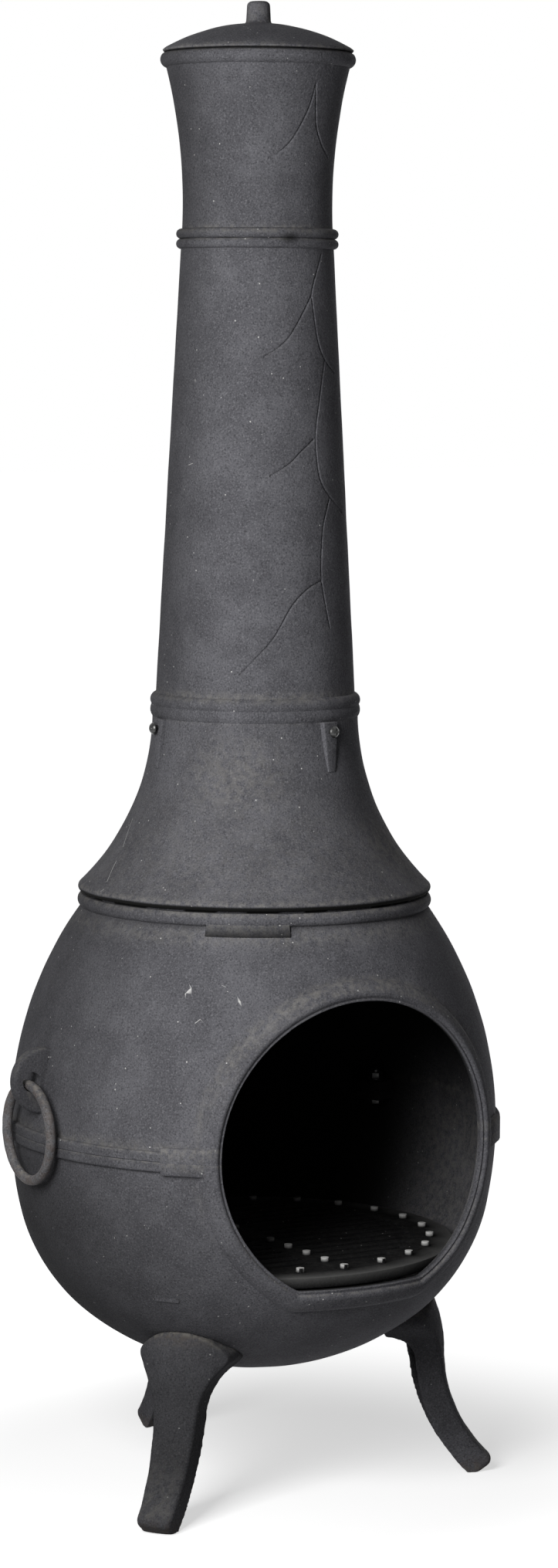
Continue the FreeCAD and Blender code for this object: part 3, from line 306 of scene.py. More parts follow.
def spun(mesh: BMesh, axis: Vector, segments: int) -> BMesh:
    """Spin a mesh's outline a full turn about an axis through the origin.

    Args:
        mesh: Mesh that holds the outline.
        axis: Direction of the axis.
        segments: Number of steps.

    Returns:
        The same mesh, closed and facing outwards.
    """
    bmesh.ops.spin(
        mesh,
        geom=mesh.verts[:] + mesh.edges[:],
        cent=(0.0, 0.0, 0.0),
        axis=axis,
        angle=math.tau,
        steps=segments,
        use_merge=True,
    )
    bmesh.ops.remove_doubles(mesh, verts=mesh.verts, dist=MERGE)
    bmesh.ops.recalc_face_normals(mesh, faces=mesh.faces)
    return mesh


def placed(name: str, data: bpy.types.ID) -> bpy.types.Object:
    """Put a new object in the scene.

    Args:
        name: The object's name.
        data: Its mesh, lamp or camera.

    Returns:
        The object.
    """
    thing = bpy.data.objects.new(name, data)
    bpy.context.scene.collection.objects.link(thing)
    return thing


def round_edges(mesh: BMesh, edges: list[BMEdge], width: float, segments: int) -> BMesh:
    """Round chosen edges of a mesh.

    Args:
        mesh: Mesh to round.
        edges: The edges.
        width: Width of the rounding.
        segments: Number of faces across it.

    Returns:
        The same mesh.
    """
    bmesh.ops.bevel(
        mesh,
        geom=edges,
        offset=width,
        offset_type="OFFSET",
        segments=segments,
        profile=0.5,
        affect="EDGES",
        clamp_overlap=True,
        material=-1,
    )
    return mesh


def cylinder(radius: float, depth: float, segments: int, place: Matrix) -> BMesh:
    """Make a closed cylinder.

    Args:
        radius: Its radius.
        depth: Its length.
        segments: Number of faces round it.
        place: Where its middle and its axis lie.

    Returns:
        The cylinder.
    """
    mesh = bmesh.new()
    bmesh.ops.create_cone(
        mesh, cap_ends=True, segments=segments, radius1=radius, radius2=radius, depth=depth, matrix=place
    )
    return mesh


def bevelled(mesh: BMesh, width: float, segments: int = 2, sharper_than: float = 30.0) -> BMesh:
    """Round the sharp edges of a mesh.

    Args:
        mesh: Mesh to round.
        width: Width of the rounding.
        segments: Number of faces across it.
        sharper_than: Least angle in degrees of an edge that is rounded.

    Returns:
        The same mesh.
    """
    limit = math.radians(sharper_than)
    sharp = [edge for edge in mesh.edges if edge.is_manifold and edge.calc_face_angle() > limit]
    return round_edges(mesh, sharp, width, segments)


def block(low: Vector, high: Vector, bearing: float, rounding: float) -> BMesh:
    """Make a block with rounded edges that lies along a bearing.

    Args:
        low: Its inner, left and lower corner, as radius, way across and height.
        high: Its outer, right and upper corner.
        bearing: Bearing it lies along.
        rounding: Width of its rounded edges.

    Returns:
        The closed block.
    """
    mesh = bmesh.new()
    shape = Matrix.Translation((low + high) / 2.0) @ Matrix.Diagonal((*(high - low), 1.0))
    bmesh.ops.create_cube(mesh, size=1.0, matrix=turned_to(bearing) @ shape)
    return bevelled(mesh, rounding)


def joined(pieces: Iterable[BMesh]) -> BMesh:
    """Put loose meshes together in one.

    Args:
        pieces: Meshes to take in, which are freed.

    Returns:
        The mesh that holds them all.
    """
    whole = bmesh.new()
    for piece in pieces:
        data = bpy.data.meshes.new("piece")
        piece.to_mesh(data)
        piece.free()
        whole.from_mesh(data)
        bpy.data.meshes.remove(data)
    return whole


def smooth_path(points: Sequence[Vector], parts: int) -> list[Vector]:
    """Draw a smooth line through points.

    Args:
        points: Points on the line.
        parts: Number of steps from one point to the next.

    Returns:
        Points along the line.
    """
    ends = [points[0], *points, points[-1]]
    path: list[Vector] = []
    for before, start, end, after in zip(ends, ends[1:], ends[2:], ends[3:]):
        lead = start + (end - before) / 6.0
        trail = end - (after - start) / 6.0
        path += interpolate_bezier(start, lead, trail, end, parts + 1)[:-1]
    return [*path, points[-1]]


def laid(
    strokes: Sequence[Sequence[Point]], radius_at: Callable[[float], float], turn: float = 0.0
) -> list[list[Vector]]:
    """Lay strokes on a turned face.

    Args:
        strokes: Each stroke's points as bearing and height.
        radius_at: Gives the face's radius at a height.
        turn: Bearing that is added to every point.

    Returns:
        Points of each stroke.
    """
    return [
        [at_bearing(radius_at(height), bearing + turn, height) for bearing, height in stroke]
        for stroke in strokes
    ]


@dataclass(frozen=True)
class Groove:
    """An incised line's section."""

    depth: float = 1.35
    half_width: float = 1.3
    near: float = 4.6
    parts: int = 60


class Casting:
    """A mesh in the making, in millimetres about the flue's axis."""

    def __init__(self, mesh: BMesh) -> None:
        """Take over a mesh."""
        self.mesh = mesh

    @classmethod
    def of_node(cls, node: str) -> "Casting":
        """Copy a CAD node's mesh, with its loose triangles merged.

        Args:
            node: The node's name.

        Returns:
            The copy.
        """
        mesh = bmesh.new()
        mesh.from_mesh(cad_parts[node].data)
        for face in mesh.faces:
            face.material_index = 0
        bmesh.ops.transform(mesh, matrix=TO_FRAME.inverted(), verts=mesh.verts)
        bmesh.ops.remove_doubles(mesh, verts=mesh.verts, dist=MERGE)
        return cls(mesh)

    def _stand_in(self, mesh: BMesh) -> bpy.types.Object:
        """Put a mesh in the scene for a moment, and free it."""
        data = bpy.data.meshes.new("stand_in")
        mesh.to_mesh(data)
        mesh.free()
        return placed("stand_in", data)

    def _taken(self, thing: bpy.types.Object, *others: bpy.types.Object) -> None:
        """Take a stand-in's evaluated mesh back, and remove the stand-ins."""
        bpy.context.view_layer.update()
        self.mesh = bmesh.new()
        self.mesh.from_object(thing, bpy.context.evaluated_depsgraph_get())
        for spent in (thing, *others):
            data = spent.data
            bpy.data.objects.remove(spent)
            bpy.data.meshes.remove(data)

    def combine(self, piece: BMesh, way: Way) -> "Casting":
        """Unite a closed piece with the casting, or cut it away.

        Args:
            piece: The piece, which is freed.
            way: How to combine the two.

        Returns:
            The casting itself.
        """
        base, tool = self._stand_in(self.mesh), self._stand_in(piece)
        modifier = base.modifiers.new("combine", "BOOLEAN")
        modifier.operation = way.value
        modifier.solver = "EXACT"
        modifier.object = tool
        self._taken(base, tool)
        return self

    def remesh(self, cell: float) -> "Casting":
        """Rebuild the casting from even cells.

        Args:
            cell: Size of a cell.

        Returns:
            The casting itself.
        """
        thing = self._stand_in(self.mesh)
        modifier = thing.modifiers.new("cells", "REMESH")
        modifier.mode = "VOXEL"
        modifier.voxel_size = cell
        self._taken(thing)
        return self

    def smooth(self, rounds: int) -> "Casting":
        """Relax the casting's points.

        Args:
            rounds: Number of rounds.

        Returns:
            The casting itself.
        """
        for _ in range(rounds):
            bmesh.ops.smooth_vert(
                self.mesh,
                verts=self.mesh.verts,
                factor=0.5,
                use_axis_x=True,
                use_axis_y=True,
                use_axis_z=True,
            )
        return self

    def _lines(self, strokes: Iterable[Sequence[Vector]], parts: int, steps: Sequence[float]) -> KDTree:
        """Refine the casting's face along smooth lines.

        Args:
            strokes: Points that each line goes through.
            parts: Number of steps between two of them.
            steps: Distance from the lines that each round of refining takes in.

        Returns:
            The lines' points, ready to be searched.
        """
        path = [spot for stroke in strokes for spot in smooth_path(stroke, parts)]
        tree = KDTree(len(path))
        for index, spot in enumerate(path):
            tree.insert(spot, index)
        tree.balance()
        for near in steps:
            edges = [edge for edge in self.mesh.edges if all(tree.find(v.co)[2] < near for v in edge.verts)]
            bmesh.ops.subdivide_edges(self.mesh, edges=edges, cuts=1, use_grid_fill=True)
        self.mesh.normal_update()
        return tree

    def engrave(self, strokes: Iterable[Sequence[Vector]], groove: Groove) -> "Casting":
        """Cut smooth lines into the casting's face.

        Args:
            strokes: Points that each line goes through.
            groove: Section of the lines.

        Returns:
            The casting itself.
        """
        tree = self._lines(strokes, groove.parts, (groove.near, groove.near * 0.7))
        for vert in self.mesh.verts:
            gap = tree.find(vert.co)[2]
            if gap < groove.half_width:
                vert.co -= vert.normal * groove.depth * (1.0 - ease(0.15, 1.0, gap / groove.half_width))
        return self

    def scratch(self, strokes: Iterable[Sequence[Vector]], half_width: float = 0.38) -> "Casting":
        """Score bare lines into the casting's paint.

        Args:
            strokes: Points that each line goes through.
            half_width: Half the width of a line.

        Returns:
            The casting itself.
        """
        tree = self._lines(strokes, 40, (5.0, 3.0, 1.8, 1.2))

        def bare(place: Vector, normal: Vector) -> float:
            """Share of bare metal."""
            return 1.0 - ease(0.5, 1.0, tree.find(place)[2] / half_width)

        return self.paint(Tone.WEAR_AND_GLINT, bare)

    def roughen(self, height: float, grain: float, seed: float = 0.0) -> "Casting":
        """Give the surface the unevenness of a sand mould.

        Args:
            height: Most that a point moves.
            grain: Size of the unevenness.
            seed: Where in the noise the casting lies.

        Returns:
            The casting itself.
        """
        self.mesh.normal_update()
        shift = Vector((seed, seed, seed))
        for vert in self.mesh.verts:
            vert.co += vert.normal * height * noise.noise(vert.co / grain + shift)
        return self

    def paint(self, tone: Tone, share: Share) -> "Casting":
        """Paint a tone on the casting's points.

        Args:
            tone: Tone to paint.
            share: Gives the tone's share from a point's place and normal.

        Returns:
            The casting itself.
        """
        self.mesh.normal_update()
        layer = self.mesh.verts.layers.float.get(tone.value) or self.mesh.verts.layers.float.new(tone.value)
        for vert in self.mesh.verts:
            vert[layer] = min(max(share(vert.co, vert.normal), 0.0), 1.0)
        return self

    def finish(self, name: str, body: Body, slot: Slot, finish: "Finish", *nodes: str) -> bpy.types.Object:
        """Make the casting a piece of the scene.

        Args:
            name: The piece's name.
            body: Body it rides on.
            slot: Record slot of its finish; not used.
            finish: Its finish.
            nodes: CAD nodes that it stands for.

        Returns:
            The finished piece.
        """
        bmesh.ops.transform(self.mesh, matrix=TO_FRAME, verts=self.mesh.verts)
        data = bpy.data.meshes.new(name)
        self.mesh.to_mesh(data)
        self.mesh.free()
        data.shade_smooth()
        data.set_sharp_from_angle(angle=math.radians(38.0))
        data.materials.clear()
        data.materials.append(finish.material())
        piece = placed(name, data)
        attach(piece, body.value)
        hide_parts(*nodes)
        LOG.info("%s: %d faces", name, len(data.polygons))
        return piece


class Recipe:
    """The node tree of one material, put together in plain steps."""

    def __init__(self, name: str) -> None:
        """Start a material that reads object coordinates."""
        self.material = bpy.data.materials.new(name)
        self.material.use_nodes = True
        self.nodes = self.material.node_tree.nodes
        self.shader = self.nodes["Principled BSDF"]
        self.place = self.nodes.new("ShaderNodeTexCoord").outputs["Object"]

    def join(self, source: Socket, target: Socket) -> None:
        """Link one socket to another."""
        self.material.node_tree.links.new(source, target)

    def stretched(self, stretch: Colour, turn: Colour) -> Socket:
        """Give object coordinates that are turned and stretched.

        Args:
            stretch: Scale along each axis.
            turn: Turn about each axis in radians.

        Returns:
            The coordinates.
        """
        mapping = self.nodes.new("ShaderNodeMapping")
        mapping.inputs["Rotation"].default_value = turn
        mapping.inputs["Scale"].default_value = stretch
        self.join(self.place, mapping.inputs["Vector"])
        return mapping.outputs["Vector"]

    def noise(self, size: float, detail: float = 3.0, place: Socket | None = None) -> Socket:
        """Give soft noise.

        Args:
            size: Size of its patches in millimetres.
            detail: Number of finer layers.
            place: Coordinates it lies in, plain object coordinates if left out.

        Returns:
            The noise, about 0.5 on average.
        """
        node = self.nodes.new("ShaderNodeTexNoise")
        node.inputs["Scale"].default_value = 1.0 / (size * MM)
        node.inputs["Detail"].default_value = detail
        node.inputs["Roughness"].default_value = 0.6
        self.join(place or self.place, node.inputs["Vector"])
        return node.outputs["Fac"]

    def spots(self, place: Socket, size: float, radius: float, kept: float) -> Socket:
        """Give scattered spots.

        Args:
            place: Coordinates they are scattered in.
            size: Distance between them in millimetres.
            radius: Radius of a spot, as a share of that distance.
            kept: Share of the spots that show.

        Returns:
            Their mask.
        """
        cells = self.nodes.new("ShaderNodeTexVoronoi")
        cells.inputs["Scale"].default_value = 1.0 / (size * MM)
        self.join(place, cells.inputs["Vector"])
        chance = self.nodes.new("ShaderNodeSeparateColor")
        self.join(cells.outputs["Color"], chance.inputs["Color"])
        shown = self.ramped(chance.outputs["Red"], kept + 0.01, kept)
        return self.product(self.ramped(cells.outputs["Distance"], radius, radius * 0.55), shown)

    def ramped(self, value: Socket, low: float, high: float, start: float = 0.0, end: float = 1.0) -> Socket:
        """Map a value smoothly from one range to another.

        Args:
            value: Value to map.
            low: Value that gives the start.
            high: Value that gives the end.
            start: Result at the low value.
            end: Result at the high value.

        Returns:
            The mapped value.
        """
        node = self.nodes.new("ShaderNodeMapRange")
        node.interpolation_type = "SMOOTHSTEP"
        self.join(value, node.inputs["Value"])
        for name, number in (("From Min", low), ("From Max", high), ("To Min", start), ("To Max", end)):
            node.inputs[name].default_value = number
        return node.outputs["Result"]

    def product(self, first: Socket, second: Socket) -> Socket:
        """Multiply two values.

        Args:
            first: One value.
            second: The other value.

        Returns:
            Their product.
        """
        node = self.nodes.new("ShaderNodeMath")
        node.operation = "MULTIPLY"
        self.join(first, node.inputs[0])
        self.join(second, node.inputs[1])
        return node.outputs["Value"]

    def tone(self, tone: Tone) -> Socket:
        """Read a painted tone's share."""
        node = self.nodes.new("ShaderNodeAttribute")
        node.attribute_name = tone.value
        return node.outputs["Fac"]

    def coloured(self, share: Socket, under: Socket | Colour, over: Colour) -> Socket:
        """Lay one colour over another.

        Args:
            share: How much of the upper colour shows.
            under: The lower colour.
            over: The upper colour.

        Returns:
            The mixed colour.
        """
        node = self.nodes.new("ShaderNodeMix")
        node.data_type = "RGBA"
        self.join(share, node.inputs["Factor"])
        if isinstance(under, tuple):
            node.inputs["A"].default_value = (*under, 1.0)
        else:
            self.join(under, node.inputs["A"])
        node.inputs["B"].default_value = (*over, 1.0)
        return node.outputs["Result"]

    def relief(self, height: Socket, depth: float, over: Socket | None = None) -> Socket:
        """Give the surface a fine relief.

        Args:
            height: Pattern of the relief.
            depth: Its depth in millimetres.
            over: Normal that it lies on.

        Returns:
            The new normal.
        """
        node = self.nodes.new("ShaderNodeBump")
        node.inputs["Strength"].default_value = 1.0
        node.inputs["Distance"].default_value = depth * MM
        self.join(height, node.inputs["Height"])
        if over is not None:
            self.join(over, node.inputs["Normal"])
        return node.outputs["Normal"]


@dataclass(frozen=True)
class Finish:
    """A finish that makes its material once."""

    name: str

    def recipe(self) -> Recipe:
        """Put the material together."""
        raise NotImplementedError

    def material(self) -> bpy.types.Material:
        """Give the finish's material, made when it is first asked for."""
        return bpy.data.materials.get(self.name) or self.recipe().material


@dataclass(frozen=True)
class CastIron(Finish):
    """Matte stove paint on sand-cast iron, dusty on its edges and sooty inside; the soot colour also paints
    shade, the dust colour painted highlights, and the wear colour painted glints on the grate's studs.
    """

    light: Colour = (0.148, 0.147, 0.161)
    dark: Colour = (0.108, 0.107, 0.118)
    grain: Colour = (0.045, 0.045, 0.05)
    pale: Colour = (0.255, 0.254, 0.272)
    # the dust, soot and wear colours also paint highlights, shade and glints where their shares carry them
    dust: Colour = (0.32, 0.306, 0.28)
    soot: Colour = (0.012, 0.012, 0.0115)
    rust: Colour = (0.11, 0.072, 0.05)
    wear: Colour = (0.72, 0.715, 0.7)
    speck: Colour = (0.66, 0.655, 0.64)
    roughness: float = 0.72
    shine: float = 0.05

    def recipe(self) -> Recipe:
        """Put the iron's material together.

        Returns:
            Its node tree.
        """
        made = Recipe(self.name)
        colour = made.coloured(made.ramped(made.noise(46.0, 6.0), 0.34, 0.64), self.light, self.dark)
        streaked = made.noise(30.0, 4.0, made.stretched((1.0, 1.0, 0.16), (0.06, 0.0, 0.0)))
        colour = made.coloured(made.ramped(streaked, 0.5, 0.78, 0.0, 0.5), colour, self.dark)
        fine = made.noise(1.7, 2.0)
        colour = made.coloured(made.ramped(fine, 0.5, 0.27, 0.0, 0.75), colour, self.grain)
        colour = made.coloured(made.ramped(fine, 0.52, 0.74, 0.0, 0.6), colour, self.pale)
        patchy = made.ramped(made.noise(7.0, 6.0), 0.36, 0.64)
        colour = made.coloured(made.product(made.tone(Tone.RUST), patchy), colour, self.rust)
        # dust share: real dust plus painted highlights
        colour = made.coloured(made.product(made.tone(Tone.DUST_AND_SHEEN), patchy), colour, self.dust)
        colour = made.coloured(made.spots(made.place, 10.0, 0.09, 0.35), colour, self.speck)
        scored = made.stretched((1.0, 1.0, 0.18), (0.5, 0.3, 0.0))
        colour = made.coloured(made.spots(scored, 15.0, 0.03, 0.25), colour, self.speck)
        # wear share: bare metal plus painted glints on the grate's studs
        colour = made.coloured(made.tone(Tone.WEAR_AND_GLINT), colour, self.wear)
        # soot share: real soot plus painted shade
        soot = made.tone(Tone.SOOT_AND_SHADE)
        made.join(made.coloured(soot, colour, self.soot), made.shader.inputs["Base Color"])
        made.join(made.ramped(soot, 0.0, 1.0, self.roughness, 0.95), made.shader.inputs["Roughness"])
        made.shader.inputs["Specular IOR Level"].default_value = self.shine
        pits = made.relief(made.noise(5.0, 3.0), 0.55)
        made.join(made.relief(fine, 0.3, pits), made.shader.inputs["Normal"])
        return made


@dataclass(frozen=True)
class BlackSteel(Finish):
    """Blackened steel of bolts and screws."""

    light: Colour = (0.17, 0.168, 0.165)
    dark: Colour = (0.085, 0.084, 0.083)
    metal: float = 0.55
    low_gloss: float = 0.5
    high_gloss: float = 0.34

    def recipe(self) -> Recipe:
        """Put the steel's material together.

        Returns:
            Its node tree.
        """
        made = Recipe(self.name)
        cloudy = made.ramped(made.noise(3.0, 4.0), 0.35, 0.65)
        made.join(made.coloured(cloudy, self.light, self.dark), made.shader.inputs["Base Color"])
        gloss = made.ramped(cloudy, 0.0, 1.0, self.high_gloss, self.low_gloss)
        made.join(gloss, made.shader.inputs["Roughness"])
        made.shader.inputs["Metallic"].default_value = self.metal
        made.join(made.relief(made.noise(0.7, 2.0), 0.05), made.shader.inputs["Normal"])
        return made


STOVE_IRON = CastIron("stove_paint")
RING_IRON = CastIron("ring_paint", light=(0.17, 0.169, 0.175), dark=(0.1, 0.099, 0.104), roughness=0.6)
GRATE_IRON = CastIron(
    "sooty_grate",
    light=(0.014, 0.014, 0.0145),
    dark=(0.008, 0.008, 0.0085),
    grain=(0.005, 0.005, 0.005),
    pale=(0.03, 0.03, 0.03),
)
BOLT_STEEL = BlackSteel("black_bolts", light=(0.03, 0.03, 0.029), dark=(0.015, 0.015, 0.0148))
SCREW_STEEL = BlackSteel(
    "bright_screws", light=(0.06, 0.06, 0.059), dark=(0.025, 0.025, 0.0247), low_gloss=0.34, high_gloss=0.2
)


class Dressed:
    """A sub-assembly of painted castings that are sooty and dusty, with painted shade and painted highlights
    laid in the same shares.
    """

    def soot(self, place: Vector, normal: Vector) -> float:
        """Give the share of soot, dirt and painted shade at a point.

        Args:
            place: A point of the casting.
            normal: Its normal.

        Returns:
            The share.
        """
        raise NotImplementedError

    def dust(self, place: Vector, normal: Vector) -> float:
        """Give the share of dust and painted light at a point.

        Args:
            place: A point of the casting.
            normal: Its normal.

        Returns:
            The share.
        """
        raise NotImplementedError

    def dress(self, casting: Casting, body: Body, node: str) -> None:
        """Paint a casting, and make it the piece that stands for a node.

        Args:
            casting: The shaped casting.
            body: Body it rides on.
            node: CAD node that it stands for.
        """
        casting.paint(Tone.SOOT_AND_SHADE, self.soot).paint(Tone.DUST_AND_SHEEN, self.dust)
        casting.finish(f"{node}_casting", body, Slot.STOVE, STOVE_IRON, node)


@dataclass
class Belly(Dressed):
    """The two bowls of the belly, with the mouth's collar, pads, ears, lugs and ledges."""

    seam: float = 372.0
    radius: float = 247.5
    wall: float = 5.0
    side_arc: float = 400.0
    side_drop: float = 82.0
    haunch_arc: float = 190.0
    haunch_tilt: float = 53.8
    upper_arc: float = 381.0
    bead_height: float = 10.0
    bead_proud: float = 4.5
    bead_round: float = 2.5
    seam_groove: float = 0.9
    rim: float = 607.0
    rim_bead: float = 13.0
    rim_proud: float = 3.4
    rim_land: float = 10.0
    mouth_radius: float = 150.0
    mouth_height: float = 374.0
    sill_width: float = 139.0
    corner: float = 14.0
    collar_width: float = 22.0
    collar_proud: float = 7.0
    sill_growth: float = 1.18
    pad_bearing: float = 45.65
    pad_width: float = 47.0
    pad_low: float = 359.0
    pad_high: float = 387.0
    pad_proud: float = 5.4
    rim_pad_bearings: tuple[float, ...] = (88.0, 208.0, 328.0)
    rim_pad_low: float = 585.0
    rim_pad_high: float = 597.0
    rim_pad_width: float = 85.0
    rim_pad_proud: float = 2.0
    leg_bearings: tuple[float, ...] = tuple(LEG_BEARINGS.values())
    lug_bearings: tuple[float, ...] = (115.0, 180.0, 245.0)
    lug_reach: float = 212.3
    lug_half: float = 14.0
    lug_height: float = 10.0
    ledge_reach: float = 191.3
    ledge_half: float = 13.0
    ledge_root: float = 232.0
    ledge_low: float = 225.8
    ledge_top: float = 239.8
    hood_lug_inner: float = 134.94
    hood_lug_outer: float = 172.0
    hood_lug_half: float = 15.0
    hood_lug_low: float = 583.0
    hood_lug_top: float = 594.5
    boss_radius: float = 12.0
    boss_height: float = 5.0
    ear_height: float = 433.0
    ear_radius: float = 33.0
    ear_thickness: float = 13.0
    eye_reach: float = 257.085
    eye_radius: float = 10.0
    segments: int = 240

    scratches: tuple[tuple[Point, ...], ...] = (
        ((-34.6, 527.6), (-33.8, 526.8), (-32.7, 525.8)),
        ((-43.3, 510.1), (-44.7, 505.8)),
        ((-46.8, 538.1), (-48.3, 532.1)),
        ((-38.6, 541.4), (-37.6, 539.9)),
    )

    @property
    def side_tilt(self) -> float:
        """Tilt in degrees where the side's arc meets the haunch's."""
        return math.degrees(math.asin(self.side_drop / self.side_arc))

    @property
    def side_centre(self) -> Point:
        """Centre of the lower side's arc."""
        return self.radius - self.side_arc, self.seam

    @property
    def haunch_centre(self) -> Point:
        """Centre of the haunch's arc."""
        step, tilt = self.side_arc - self.haunch_arc, math.radians(self.side_tilt)
        return self.side_centre[0] + step * math.cos(tilt), self.side_centre[1] - step * math.sin(tilt)

    @property
    def bottom_step(self) -> float:
        """Distance between the haunch's centre and the bottom's."""
        return self.haunch_centre[0] / math.cos(math.radians(self.haunch_tilt))

    @property
    def bottom_centre(self) -> Point:
        """Centre of the bottom's arc."""
        return 0.0, self.haunch_centre[1] + self.bottom_step * math.sin(math.radians(self.haunch_tilt))

    @property
    def bottom(self) -> float:
        """Height of the belly's lowest point."""
        return self.bottom_centre[1] - self.haunch_arc - self.bottom_step

    @property
    def upper_centre(self) -> Point:
        """Centre of the upper side's arc."""
        return self.radius - self.upper_arc, self.seam

    @property
    def sill(self) -> float:
        """Height of the mouth's sill."""
        return self.mouth_height - math.sqrt(self.mouth_radius**2 - (self.sill_width / 2.0) ** 2)

    def radius_at(self, height: float, inset: float = 0.0) -> float:
        """Give the belly's radius at a height.

        Args:
            height: Height above the floor.
            inset: Depth inside the outer face.

        Returns:
            The radius there.
        """
        side_end = self.seam - (self.side_arc - inset) * math.sin(math.radians(self.side_tilt))
        haunch_drop = (self.haunch_arc - inset) * math.sin(math.radians(self.haunch_tilt))
        haunch_end = self.haunch_centre[1] - haunch_drop
        if height >= self.seam:
            centre, arc = self.upper_centre, self.upper_arc
        elif height >= side_end:
            centre, arc = self.side_centre, self.side_arc
        elif height >= haunch_end:
            centre, arc = self.haunch_centre, self.haunch_arc
        else:
            centre, arc = self.bottom_centre, self.haunch_arc + self.bottom_step
        return centre[0] + math.sqrt(max((arc - inset) ** 2 - (height - centre[1]) ** 2, 0.0))

    def lower_skin(self) -> Casting:
        """Turn the lower bowl's shell with its seam bead.

        Returns:
            The shell.
        """
        bead_foot = self.seam - self.bead_height
        bead_tilt = math.degrees(math.asin(self.bead_height / self.side_arc))
        outline = Outline(0.0, self.bottom + self.wall)
        outline.swing(self.bottom_centre, 90.0 - self.haunch_tilt, 26)
        outline.swing(self.haunch_centre, self.haunch_tilt - self.side_tilt, 22)
        outline.swing(self.side_centre, self.side_tilt, 14)
        face, bend, groove = self.radius + self.bead_proud, self.bead_round, self.seam_groove
        outline.line(face - groove, self.seam, 3).line(face, self.seam - groove)
        outline.line(face, bead_foot + bend, 3)
        outline.swing((face - bend, bead_foot + bend), -90.0, 6).line(self.radius_at(bead_foot), bead_foot)
        outline.swing(self.side_centre, bead_tilt - self.side_tilt, 13)
        outline.swing(self.haunch_centre, self.side_tilt - self.haunch_tilt, 24)
        outline.swing(self.bottom_centre, self.haunch_tilt - 90.0, 28)
        return outline.turned(self.segments)

    def upper_skin(self) -> Casting:
        """Turn the upper bowl's shell with its seam bead and rim.

        Returns:
            The shell.
        """
        bead_top = self.seam + self.bead_height
        rim_foot = self.rim - self.rim_bead
        foot_radius = self.radius_at(rim_foot)
        bore = foot_radius - self.rim_land
        inner_arc = self.upper_arc - self.wall
        bore_tilt = math.degrees(math.acos((bore - self.upper_centre[0]) / inner_arc))
        bore_foot = self.seam + inner_arc * math.sin(math.radians(bore_tilt))
        face, bend, groove = self.radius + self.bead_proud, self.bead_round, self.seam_groove
        outline = Outline(self.radius - self.wall, self.seam).line(face - groove, self.seam, 3)
        outline.line(face, self.seam + groove).line(face, bead_top - bend, 3)
        outline.swing((face - bend, bead_top - bend), 90.0, 6).line(self.radius_at(bead_top), bead_top)
        halfway = (bead_top + rim_foot) / 2.0
        outline.arc((self.radius_at(halfway), halfway), (foot_radius, rim_foot), 38)
        bead_middle = (foot_radius + self.rim_proud, rim_foot + self.rim_bead / 2.0)
        outline.arc(bead_middle, (foot_radius, self.rim), 12)
        outline.line(bore, self.rim, 2).line(bore, bore_foot, 2)
        outline.swing(self.upper_centre, -bore_tilt, 40)
        return outline.turned(self.segments)

    def mouth_cutter(self) -> BMesh:
        """Make the prism that opens the mouth.

        Returns:
            The closed prism.
        """
        centre, corner_turn, round_turn = self.mouth_turns()
        outline = Outline(-centre[0], self.sill).line(centre[0], self.sill, 20)
        outline.swing(centre, corner_turn, 8).swing((0.0, self.mouth_height), round_turn, 160)
        outline.swing((-centre[0], centre[1]), corner_turn, 8)
        return outline.prism(-self.radius - 40.0)

    def mouth_turns(self) -> tuple[Point, float, float]:
        """Work out the mouth's bends.

        Returns:
            Centre of the right corner, sweep of a corner and sweep of the round, in degrees.
        """
        centre_height = self.sill + self.corner
        inner = self.mouth_radius - self.corner
        centre_x = math.sqrt(inner**2 - (self.mouth_height - centre_height) ** 2)
        tilt = math.degrees(math.atan2(centre_height - self.mouth_height, centre_x))
        return (centre_x, centre_height), tilt + 90.0, 180.0 - 2.0 * tilt

    def collar(self) -> BMesh:
        """Sweep the collar round the mouth and lay it on the belly.

        Returns:
            The closed collar.
        """
        wide, proud = self.collar_width, self.collar_proud
        centre, corner_turn, round_turn = self.mouth_turns()
        section = Outline(0.5, -self.wall - 0.3).line(0.5, 0.3, 2)
        section.line(0.2, 1.6).line(-0.6, 2.3).line(-2.6, 2.5, 2)
        section.line(-3.2, 2.9).arc((-5.2, 0.74 * proud), (-9.2, proud), 8).line(-wide + 5.4, 0.9 * proud, 3)
        section.arc((-wide + 1.7, 0.62 * proud), (-wide, 0.12 * proud), 7).line(-wide - 0.4, -1.2)
        section.line(-0.5 * wide, -self.wall + 0.4)
        mesh = section.closed()
        upright = Matrix(((0, 0, 0, -centre[0]), (0, 0, -1, 0), (1, 0, 0, self.sill), (0, 0, 0, 1)))
        bmesh.ops.transform(mesh, matrix=upright, verts=mesh.verts)
        front = mesh.verts[:] + mesh.edges[:]
        sill_parts = 28
        for _ in range(sill_parts):
            edges = [item for item in front if isinstance(item, BMEdge)]
            front = bmesh.ops.extrude_edge_only(mesh, edges=edges)["geom"]
            moved = [item for item in front if isinstance(item, BMVert)]
            bmesh.ops.translate(mesh, verts=moved, vec=(2.0 * centre[0] / sill_parts, 0.0, 0.0))
        bends = (
            (centre, corner_turn, 10),
            ((0.0, self.mouth_height), round_turn, 200),
            ((-centre[0], centre[1]), corner_turn, 10),
        )
        for middle, degrees, parts in bends:
            made = bmesh.ops.spin(
                mesh,
                geom=[item for item in front if isinstance(item, (BMVert, BMEdge))],
                cent=(middle[0], 0.0, middle[1]),
                axis=(0.0, -1.0, 0.0),
                angle=math.radians(degrees),
                steps=parts,
            )
            front = made["geom_last"]
        bmesh.ops.remove_doubles(mesh, verts=mesh.verts, dist=0.02)
        bmesh.ops.recalc_face_normals(mesh, faces=mesh.faces)
        for vert in mesh.verts:
            self.lay_on(vert)
        return mesh

